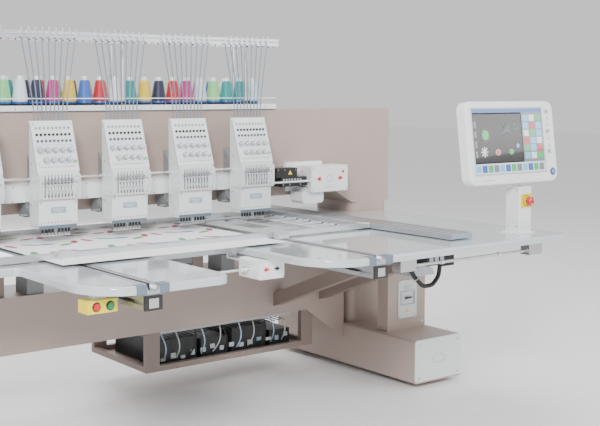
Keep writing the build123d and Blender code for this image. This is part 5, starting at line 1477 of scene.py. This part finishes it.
@dataclass
class TableAndRails:
    """Rail lips, tapes, caps and plates, the angles and screws under the table, and the cross bar's fittings.
    """

    rails: tuple[float, float] = (-495.0, 495.0)

    def build(self) -> None:
        """Makes the pieces of the table."""
        self._rails()
        self._under()
        self._x_bar()

    def _rails(self) -> None:
        """Slot lips, carriage tapes, black end caps and silver plates of the rails."""
        low = node_box("y_rails")[0]
        bits = []
        for x in self.rails:
            for side in (-1, 1):
                lip = Shape.box((x + side * 27.0 - 2.0, low.y + 60, 797.5),
                                (x + side * 27.0 + 2.0, 540.0, 800.6))
                bits.append(lip.soften(0.5, 1).wear(Finish.ALU_Y))
            tape = Shape.box((x - 25.0, low.y + 40, 772.4), (x + 25.0, 545.0, 773.2)).wear(Finish.BLACK)
            bits.append(tape)
            cap = Shape.box((x - 33.5, -852.0, 718.0), (x + 33.5, -842.0, 765.0)).soften(2.0, 3).smooth()
            bits.append(cap.wear(Finish.BLACK))
            for side in (-1, 1):
                cheek = Shape.box((x + side * 42.0 - 18.0, -852.2, 770.0),
                                  (x + side * 42.0 + 18.0, -815.0, 801.2))
                bits.append(cheek.soften(2.2, 2).smooth().wear(Finish.SLATE_BLUE))
            plate = Shape.box((x - 18.0, -853.2, 726.0), (x + 18.0, -851.4, 757.0)).soften(0.8, 2)
            bits.append(plate.wear(Finish.STEEL))
            for dx in (-12.0, 12.0):
                bits.append(screw((x + dx, -853.0, 741.0), (0, -1, 0), 3.0))
            for i in range(10):
                y = -760.0 + i * 135.0
                for side in (-1, 1):
                    bits.append(Shape.box((x + side * 32.6 - 0.5, y, 735.0),
                                          (x + side * 32.6 + 0.5, y + 70, 741.0))
                                .wear(Finish.DARK))
        keep(join(bits), "rail_fittings", "frame")

    def _under(self) -> None:
        """Cross angles and screws under the table."""
        bits = []
        for x in (-1100.0, -300.0, 300.0, 700.0, 1330.0):
            angle = Shape.box((x - 14.0, -290.0, 764.0),
                              (x + 14.0, 300.0, 772.2)).soften(1.0, 1).wear(Finish.ALU_Y)
            bits.append(angle)
            for y in (-270.0, 0.0, 280.0):
                bits.append(screw((x, y, 764.0), (0, 0, -1), 4.5, 2.0))
        keep(join(bits), "table_angles", "frame")

    def _x_bar(self) -> None:
        """T-slots, end plates and screws of the cross bar and the clear cover's seams."""
        low, high = node_box("x_bar")
        bits = []
        for x in (low.x + 26.0, high.x - 26.0, (low.x + high.x) / 2):
            bits.append(Shape.box((x - 3.0, low.y + 4, high.z - 0.5), (x + 3.0, high.y - 4, high.z + 0.12))
                        .wear(Finish.DARK))
        for x in (low.x + 10.0, high.x - 10.0):
            bits.append(Shape.box((x - 0.6, low.y + 4, high.z - 0.4), (x + 0.6, high.y - 4, high.z + 0.15))
                        .wear(Finish.CASE_GREY))
        for i in range(9):
            y = low.y + 40 + i * (high.y - low.y - 80) / 8
            for x in (low.x + 44.0, high.x - 44.0):
                bits.append(screw((x, y, high.z - 0.5), (0, 0, 1), 4.5, 1.4))
        for y, out in ((low.y, -1), (high.y, 1)):
            plate = Shape.box((low.x + 2, min(y, y + out * 2.0), low.z + 1),
                              (high.x - 2, max(y, y + out * 2.0), high.z - 1))
            bits.append(plate.soften(0.8, 1).wear(Finish.BLUE_GREY))
            for x in (low.x + 14.0, high.x - 14.0):
                bits.append(screw((x, y + out * 2.0, (low.z + high.z) / 2), (0, out, 0), 3.4))
        keep(join(bits), "cross_bar_fittings", "x_bar")


@dataclass
class ColourChangeUnit:
    """Label, marks, screws, motor ribs and sensors of the colour-change unit."""

    def build(self) -> None:
        """Makes the unit's pieces."""
        f = 165.0
        x0, x1, z0, z1 = 1030.0, 1262.0, 930.0, 1053.0
        bits = []
        panel = Shape.box((x0 + 14, f - 0.8, z0 + 14),
                          (x1 - 14, f + 1, z1 - 14)).soften(0.4, 1).wear(Finish.STICKER_WHITE)
        bits.append(panel)
        for side in (-1, 1):
            cx = (x0 + x1) / 2 + side * 72.0
            arrow = Shape.slab([(cx - side * 12, f - 1.6, 1004.0), (cx + side * 12, f - 1.6, 992.0),
                                (cx - side * 12, f - 1.6, 980.0)], (0, 1.2, 0))
            bits.append(arrow.wear(Finish.RED))
            bits.append(Shape.box((cx - side * 12 - 7, f - 1.5, 988.5),
                                  (cx - side * 12 + 7, f - 0.5, 995.5)).wear(Finish.RED))
        dot = Shape.rod((x1 - 32.0, f - 0.5, z1 - 30.0), (x1 - 32.0, f - 2.6, z1 - 30.0), 7.0,
                        24).soften(0.6, 2).smooth()
        bits.append(dot.wear(Finish.RED))
        for i, width in enumerate((74.0, 58.0, 66.0)):
            z = 958.0 - i * 6.0
            bits.append(Shape.box((1146.0 - width / 2, f - 1.2, z), (1146.0 + width / 2, f - 0.6, z + 1.8))
                        .wear(Finish.CASE_GREY))
        bits.append(Shape.ring((1146.0, f - 0.9, 993.0), (0, 1, 0), 17.0, 1.6, 32, 6).smooth()
                    .wear(Finish.CASE_GREY))
        for x in (x0 + 9, x1 - 9):
            for z in (z0 + 9, z1 - 9):
                bits.append(screw((x, f, z), (0, -1, 0), 3.6))
        for z in (952.0, 962.0, 972.0, 982.0):
            bits.append(Shape.box((x1 - 0.4, f + 24, z), (x1 + 0.5, f + 92, z + 3.4)).wear(Finish.DARK))
            bits.append(Shape.box((x0 - 0.5, f + 24, z), (x0 + 0.4, f + 92, z + 3.4)).wear(Finish.DARK))
        keep(join(bits), "unit_box_marks", "frame")
        bits = []
        lamp = Shape.rod((1000.0, 199.0, 1030.0), (1000.0, 196.2, 1030.0), 3.6,
                         16).smooth().wear(Finish.RED)
        bits.append(lamp)
        triangle = Shape.slab([(915.0, 197.8, 1018.0), (939.0, 197.8, 1018.0), (927.0, 197.8, 1038.0)],
                              (0, 1.6, 0))
        bits.append(triangle.wear(Finish.YELLOW))
        for x in (855.0, 895.0, 960.0):
            bits.append(screw((x, 199.0, 1040.0), (0, -1, 0), 3.4))
            bits.append(screw((x + 30.0, 199.0, 970.0), (0, -1, 0), 3.4))
        for i in range(7):
            x = 884.0 + i * 17.0
            bits.append(Shape.box((x, 197.4, 980.0), (x + 9.0, 199.4, 998.0)).soften(0.6, 1)
                        .wear(Finish.CASE_GREY))
        keep(join(bits), "unit_drive_fittings", "frame")
        wheel_low, wheel_high = node_box("colour_change_handwheel")
        cx, cz = (wheel_low.x + wheel_high.x) / 2, (wheel_low.z + wheel_high.z) / 2
        r = (wheel_high.z - wheel_low.z) / 2
        bits = []
        for i in range(24):
            a = math.radians(15 * i)
            c = (cx + math.cos(a) * (r - 0.6), 0, cz + math.sin(a) * (r - 0.6))
            bits.append(Shape.rod((c[0], wheel_low.y + 2, c[2]), (c[0], wheel_low.y + 12, c[2]), 1.2, 8))
        keep(join(bits).smooth().wear(Finish.BLACK), "handwheel_grip", "handwheel")


@dataclass
class OperatorControls:
    """Labels, collars, button rims and joints of the start box, the bars and the yellow switch box."""

    def build(self) -> None:
        """Makes the pieces of the operator's controls."""
        self._start_box()
        self._push_box()
        self._bars()
        self._breaker()
        self._loom()

    def _start_box(self) -> None:
        """Arrow label and screws of the start box."""
        x0, x1, z0, z1 = 190.0, 315.0, 692.0, 768.0
        f = -507.0
        bits = [Shape.box((x0 + 10, f - 0.6, z0 + 12), (x1 - 10, f + 1, z1 - 14)).soften(0.3, 1)
                .wear(Finish.STICKER_WHITE)]
        for side, finish in ((-1, Finish.RED), (1, Finish.BLACK)):
            cx = (x0 + x1) / 2 + side * 27.0
            bits.append(Shape.slab([(cx + side * 14, f - 1.2, 730.0), (cx - side * 4, f - 1.2, 740.0),
                                    (cx - side * 4, f - 1.2, 720.0)], (0, 1.0, 0)).wear(finish))
            bits.append(Shape.box((cx - 14 if side > 0 else cx + 2, f - 1.1, 726.5),
                                  (cx - 2 if side > 0 else cx + 14, f - 0.3, 733.5)).wear(finish))
        for x in (x0 + 7, x1 - 7):
            for z in (z0 + 7, z1 - 7):
                bits.append(screw((x, f, z), (0, -1, 0), 2.8))
        keep(join(bits), "start_box_label", "frame")
        collar = Shape.rod((150.0, -445.0, 728.0), (174.0, -445.0, 728.0), 10.0, 24).soften(1.2, 2).smooth()
        ends = [Shape.ball((x, -445.0, 728.0), 8.4, 18).smooth()
                .wear(Finish.BLACK) for x in (-415.0, 332.0)]
        keep(join([collar.wear(Finish.CASE_WHITE), *ends]), "start_bar_collar", "start_bar")

    def _push_box(self) -> None:
        """Rims, screws, gland and seam of the yellow box."""
        x0, x1, z0, z1, f = -668.0, -559.0, 705.0, 747.0, -736.0
        bits = []
        for x in (x0 + 32.0, x1 - 27.0):
            bits.append(Shape.ring((x, f - 0.3, 726.0), (0, 1, 0), 14.0, 1.6, 28, 8).smooth()
                        .wear(Finish.BLACK))
        for x in (x0 + 6, x1 - 6):
            for z in (z0 + 6, z1 - 6):
                bits.append(screw((x, f, z), (0, -1, 0), 2.6))
        bits.append(Shape.box((x0 - 0.4, f + 40, z0 - 0.4), (x1 + 0.4, f + 41.4, z1 + 0.4))
                    .wear(Finish.CASE_GREY))
        shell = Shape.box((x0 - 0.2, f - 0.2, z0 - 0.2), (x1 + 0.2, f + 61, z1 + 0.2))
        for x in (x0 + 32.0, x1 - 27.0):
            shell.cut(Shape.rod((x, f - 5, 726.0), (x, f + 80, 726.0), 12.4, 24))
        bits.append(shell.wear(Finish.YELLOW))
        bits.append(Shape.rod((x1, f + 30, 726.0), (x1 + 14, f + 30, 726.0), 7.0, 18).soften(0.8, 1)
                    .smooth().wear(Finish.BLACK))
        keep(join(bits), "yellow_switch_shell", "frame")

    def _bars(self) -> None:
        """Joints, collars and ends of the front bar."""
        low, high = node_box("front_bar")
        bits = []
        for x in (low.x + 26.0, high.x - 26.0):
            collar = Shape.rod((x - 13, -800.0, 738.0), (x + 13, -800.0, 738.0), 10.5,
                               24).soften(1.6, 2).smooth()
            bits.append(collar.wear(Finish.BLACK))
        mid = (low.x + high.x) / 2
        for x in (mid - 170.0, mid + 170.0):
            collar = Shape.rod((x - 8, -800.0, 738.0), (x + 8, -800.0, 738.0), 8.8,
                               24).soften(1.2, 2).smooth()
            bits.append(collar.wear(Finish.CHROME))
        keep(join(bits), "front_bar_collars", "frame")

    def _breaker(self) -> None:
        """Window frame, screws and label lines of the breaker plate."""
        f = node_box("breaker_panel")[0].y
        bits = []
        cx, cz = 1547.0, 389.0
        for dx, dz, w, h in ((-46, 0, 3, 69), (46, 0, 3, 69), (0, -33, 95, 3), (0, 33, 95, 3)):
            bits.append(Shape.box((cx + dx - w / 2, f - 1.8, cz + dz - h / 2),
                                  (cx + dx + w / 2, f + 1, cz + dz + h / 2))
                        .soften(0.6, 1).wear(Finish.CASE_GREY))
        for x in (1490.0, 1604.0):
            for z in (298.0, 469.0):
                bits.append(screw((x, f, z), (0, -1, 0), 4.2))
        for i, width in enumerate((64.0, 48.0, 56.0)):
            z = 448.0 - i * 8.0
            bits.append(Shape.box((cx - width / 2, f - 0.5, z), (cx + width / 2, f + 0.4, z + 2.6))
                        .wear(Finish.CASE_GREY))
        bits.append(Shape.slab([(cx - 12, f - 0.8, 318.0), (cx + 12, f - 0.8, 318.0),
                                (cx, f - 0.8, 338.0)], (0, 1.2, 0))
                    .wear(Finish.YELLOW))
        keep(join(bits), "breaker_plate_fittings", "frame")

    def _loom(self) -> None:
        """Ties and plugs round the cable loom under the table."""
        bits = []
        for x, z in ((868.0, 745.0), (925.0, 690.0), (975.0, 628.0)):
            bits.append(Shape.ring((x, -564.0, z), (0.62, 0, -0.78), 13.5, 1.6, 20, 6).smooth()
                        .wear(Finish.CASE_WHITE))
        for i in range(3):
            x = 1030.0 + i * 32.0
            bits.append(Shape.box((x, -593.0, 690.0), (x + 22.0, -589.0, 716.0)).soften(1.2, 1)
                        .wear(Finish.CASE_GREY))
            bits.append(screw((x + 11.0, -593.0, 730.0), (0, -1, 0), 3.0))
        keep(join(bits), "loom_ties", "frame")


@dataclass
class Structure:
    """Screws, plates, covers and feet details of the beams, uprights and long feet."""

    def build(self) -> None:
        """Makes the pieces of the structure."""
        self._end_plates()
        self._beam()
        self._leg_boxes()
        self._bay()
        self._motor()
        self._hooks()

    def _end_plates(self) -> None:
        """Screws, oval emboss and seam of the plates on the feet's ends."""
        low, high = node_box("foot_end_plates")
        bits = []
        for side in (-1, 1):
            x0, x1 = (1381.0, 1695.0) if side > 0 else (-1695.0, -1381.0)
            f = low.y
            for x in (x0 + 24, x1 - 24):
                for z in (50.0, 208.0):
                    bits.append(screw((x, f, z), (0, -1, 0), 5.0, 1.4))
            oval = Shape.ring((0, 0, 0), (0, 1, 0), 26.0, 0.9, 36, 6).smooth()
            oval.obj.data.transform(Matrix.Diagonal((1.7, 1.0, 0.8, 1.0)))
            oval.obj.data.transform(Matrix.Translation(Vector(((x0 + x1) / 2, f - 0.2, 132.0)) * MM))
            bits.append(oval.wear(Finish.CASE_GREY))
            back = high.y
            for i in range(6):
                z = 70.0 + i * 22.0
                bits.append(Shape.box((x0 + 90, back - 0.4, z), (x1 - 90, back + 0.4, z + 7))
                            .wear(Finish.DARK))
        keep(join(bits), "end_plate_fittings", "frame")

    def _beam(self) -> None:
        """Rear covers with screws and vent slits, and end caps with screws, of the upper beam."""
        low, high = node_box("upper_beam")
        bits, places = [], []
        for i in range(5):
            x = -1320.0 + i * 660.0
            cover = Shape.box((x - 290, high.y - 0.6, 960.0),
                              (x + 290, high.y + 2.2, 1270.0)).soften(1.0, 2)
            bits.append(cover.wear(Finish.BEIGE))
            for dx in (-276, 0, 276):
                for z in (974.0, 1256.0):
                    places.append((x + dx, 0.0, z))
            for k in range(9):
                bits.append(Shape.box((x - 60 + k * 14, high.y + 1.8, 1180.0),
                                      (x - 53 + k * 14, high.y + 2.6, 1225.0))
                            .wear(Finish.DARK))
        bits.append(screw((0, high.y + 2.2, 0), (0, 1, 0), 5.0, 2.0).copies(places))
        for side in (-1, 1):
            x = side * high.x
            plate = Shape.box((min(x, x + side * 2.4), low.y + 30, 935.0),
                              (max(x, x + side * 2.4), high.y - 30, 1296.0))
            bits.append(plate.soften(1.0, 2).wear(Finish.BEIGE))
            for y in (low.y + 46, high.y - 46):
                for z in (952.0, 1116.0, 1280.0):
                    bits.append(screw((x + side * 2.4, y, z), (side, 0, 0), 6.0, 2.0))
        keep(join(bits), "beam_covers", "frame")

    def _leg_boxes(self) -> None:
        """Screws and lids of the boxes at the uprights' feet."""
        bits = []
        low = node_box("leg_boxes")[0]
        for side in (-1, 1):
            x0, x1 = (1414.0, 1674.0) if side > 0 else (-1674.0, -1414.0)
            for z in (260.0, 740.0):
                for x in (x0 + 22, x1 - 22):
                    bits.append(screw((x, low.y, z), (0, -1, 0), 5.0, 2.0))
            if side < 0:
                lid = Shape.box((x0 + 40, low.y - 2.0, 290.0), (x1 - 40, low.y + 1, 520.0)).soften(1.2, 2)
                bits.append(lid.wear(Finish.GREY_PLATE))
        keep(join(bits), "leg_box_fittings", "frame")

    def _bay(self) -> None:
        """Terminal strips, sockets, fins, cables and a duct of the electrical boxes in the lower bay."""
        low, high = node_box("control_boxes")
        rng = random.Random(7)
        bits = []
        f = low.y
        span = high.x - low.x
        for i in range(14):
            x = low.x + 20 + i * (span - 60) / 13
            width = rng.uniform(20.0, 34.0)
            z = rng.uniform(172.0, 200.0)
            finish = rng.choice((Finish.CASE_GREY, Finish.GREY_PLATE, Finish.BLUE_GREY, Finish.CASE_GREY))
            bits.append(Shape.box((x, f - 6.0, z), (x + width, f + 1, z + rng.uniform(14.0, 26.0)))
                        .soften(1.0, 1).wear(finish))
        fin = Shape.box((-3.0, f + 12, high.z - 0.5), (3.0, high.y - 12, high.z + 3.0)).wear(Finish.BLACK)
        bits.append(fin.copies([(low.x + 24 + i * (span - 48) / 25, 0.0, 0.0) for i in range(26)]))
        for i in range(11):
            x = low.x + 36 + i * (span - 90) / 10
            points = [Vector((x, f - 5.0, 185.0))]
            sway = rng.uniform(-36.0, 36.0)
            for k in range(1, 9):
                t = k / 8
                points.append(Vector((x + sway * t, f - 5.0 - 34.0 * math.sin(math.pi * t),
                                      185.0 + 132.0 * t)))
            finish = (Finish.CABLE_BLUE, Finish.CASE_GREY, Finish.RUBBER)[i % 3]
            for a, b in zip(points, points[1:]):
                reach = (b - a).normalized() * 0.8
                bits.append(Shape.rod(a - reach, b + reach, 3.1, 10).wear(finish))
        duct = Shape.box((low.x + 8, f - 16.0, 306.0),
                         (high.x - 8, f + 16.0, 326.0)).soften(1.4, 1).wear(Finish.CASE_GREY)
        bits.append(duct)
        keep(join(bits).smooth(40), "bay_wiring", "frame")

    def _motor(self) -> None:
        """Fins, terminal box and belt guard of the main motor, and screws of the shaft covers."""
        low = node_box("main_motor")[0]
        bits = []
        for i in range(9):
            x = low.x + 24 + i * 12.0
            bits.append(Shape.ring((x, 255.0, 1000.0), (1, 0, 0), 44.0, 1.5, 36, 6).smooth()
                        .wear(Finish.SLATE))
        bits.append(Shape.box((low.x + 40, 200.0, 1034.0), (low.x + 100, 250.0, 1058.0)).soften(2.0, 2)
                    .wear(Finish.BLACK))
        bits.append(Shape.rod((low.x - 0.5, 255.0, 1000.0), (low.x + 2.5, 255.0, 1000.0), 30.0, 32)
                    .soften(1.0, 2)
                    .smooth().wear(Finish.CASE_GREY))
        keep(join(bits), "motor_fins", "frame")
        cover_low, cover_high = node_box("shaft_covers")
        bits = []
        for x in head_places():
            for dx in (-62.0, -150.0, 62.0, 150.0):
                place = x + dx
                if cover_low.x + 8 < place < cover_high.x - 8:
                    bits.append(screw((place, cover_low.y, 1028.0), (0, -1, 0), 3.6))
                    bits.append(screw((place, cover_low.y, 972.0), (0, -1, 0), 3.6))
        keep(join(bits), "shaft_cover_screws", "frame")

    def _hooks(self) -> None:
        """Gears and bolts of the hook brackets, and rims of the rotary hooks."""
        bits = []
        for side in (-1, 1):
            bits.append(screw((side * 38.0, 240.0, 720.0), (side, 0, 0), 5.0, 3.0))
            bits.append(screw((side * 38.0, 300.0, 660.0), (side, 0, 0), 5.0, 3.0))
            bits.append(Shape.rod((side * 38.0, 255.0, 695.0), (side * 44.0, 255.0, 695.0), 19.0, 32)
                        .soften(1.2, 2)
                        .smooth().wear(Finish.STEEL))
        keep(spread(join(bits)), "hook_bracket_fittings", "frame")
        for i, x in enumerate(head_places()):
            rim = [Shape.ring((x, 161.0, 757.0), (0, 1, 0), 19.6, 1.1, 32, 6).smooth().wear(Finish.CHROME),
                   Shape.ring((x, 160.6, 757.0), (0, 1, 0), 13.0, 0.8, 28, 6).smooth().wear(Finish.STEEL)]
            keep(join(rim), f"hook_rim_{i + 1}", f"hook_{i + 1}")


NODE_FINISHES = {
    "upper_beam": Finish.BEIGE, "uprights": Finish.BEIGE, "lower_beam": Finish.BEIGE, "feet": Finish.BEIGE,
    "foot_end_plates": Finish.GREY_PLATE, "levelling_feet": Finish.RUBBER, "leg_boxes": Finish.BEIGE,
    # Struts and bay frame under the table take the beige with painted shade.
    "table_struts": Finish.BEIGE_DARK, "lower_bay_frame": Finish.BEIGE_DARK, "control_boxes": Finish.BLACK,
    "table_top": Finish.TABLE, "y_rails": Finish.ALU_Y, "y_clamps": Finish.FROSTED,
    "sash_frame": Finish.ALU_X,
    "cloth": Finish.STICKER_WHITE, "sash_clips": Finish.FROSTED, "x_bar": Finish.ALU_Y,
    "x_drive_cover": Finish.COVER_MILKY, "head_arms": Finish.CAST, "shaft_covers": Finish.WHITE,
    "main_shaft": Finish.STEEL, "main_motor": Finish.SLATE, "needle_cases": Finish.CASE_WHITE,
    "tension_plates": Finish.CASE_WHITE, "tension_knobs": Finish.KNOB_CLEAR, "case_covers": Finish.CASE_WHITE,
    "case_links": Finish.CHROME, "idle_needle_sets": Finish.CHROME, "active_needle_bars": Finish.CHROME,
    "active_presser_feet": Finish.CHROME, "active_take_up_levers": Finish.CHROME,
    "needle_plates": Finish.STEEL, "hook_bases": Finish.CAST, "hook_shaft": Finish.STEEL,
    "rack_tray": Finish.WHITE, "thread_cones": Finish.BLUE, "rack_frame": Finish.ALU_X,
    "thread_tubes": Finish.TUBE, "colour_change_box": Finish.WHITE, "colour_change_drive": Finish.BLACK,
    "colour_change_handwheel": Finish.BLACK, "panel_column": Finish.WHITE,
    "panel_housing": Finish.PANEL_WHITE,
    "panel_screen": Finish.DARK, "power_button": Finish.BLUE, "emergency_stop_plate": Finish.YELLOW,
    "emergency_stop_button": Finish.RED, "switch_boxes": Finish.WHITE, "start_bar": Finish.CHROME,
    "start_button": Finish.GREEN, "stop_button": Finish.RED, "front_bar": Finish.STEEL,
    "breaker_panel": Finish.GREY_PLATE, "breaker_toggle": Finish.BLACK, "cable_bundle": Finish.RUBBER,
    **{name: Finish.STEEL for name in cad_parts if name.startswith("rotary_hook_")},
}


def main() -> None:
    """Builds every sub-assembly around the frame."""
    logging.basicConfig(level=logging.INFO)
    Studio().build()
    for node, finish in NODE_FINISHES.items():
        paint_node(node, finish)
    for assembly in (EmbroideryHeads(), ThreadRack(), SashFrame(), ControlPanel(), TableAndRails(),
                     ColourChangeUnit(), OperatorControls(), Structure()):
        assembly.build()


if __name__ == "__main__":
    main()
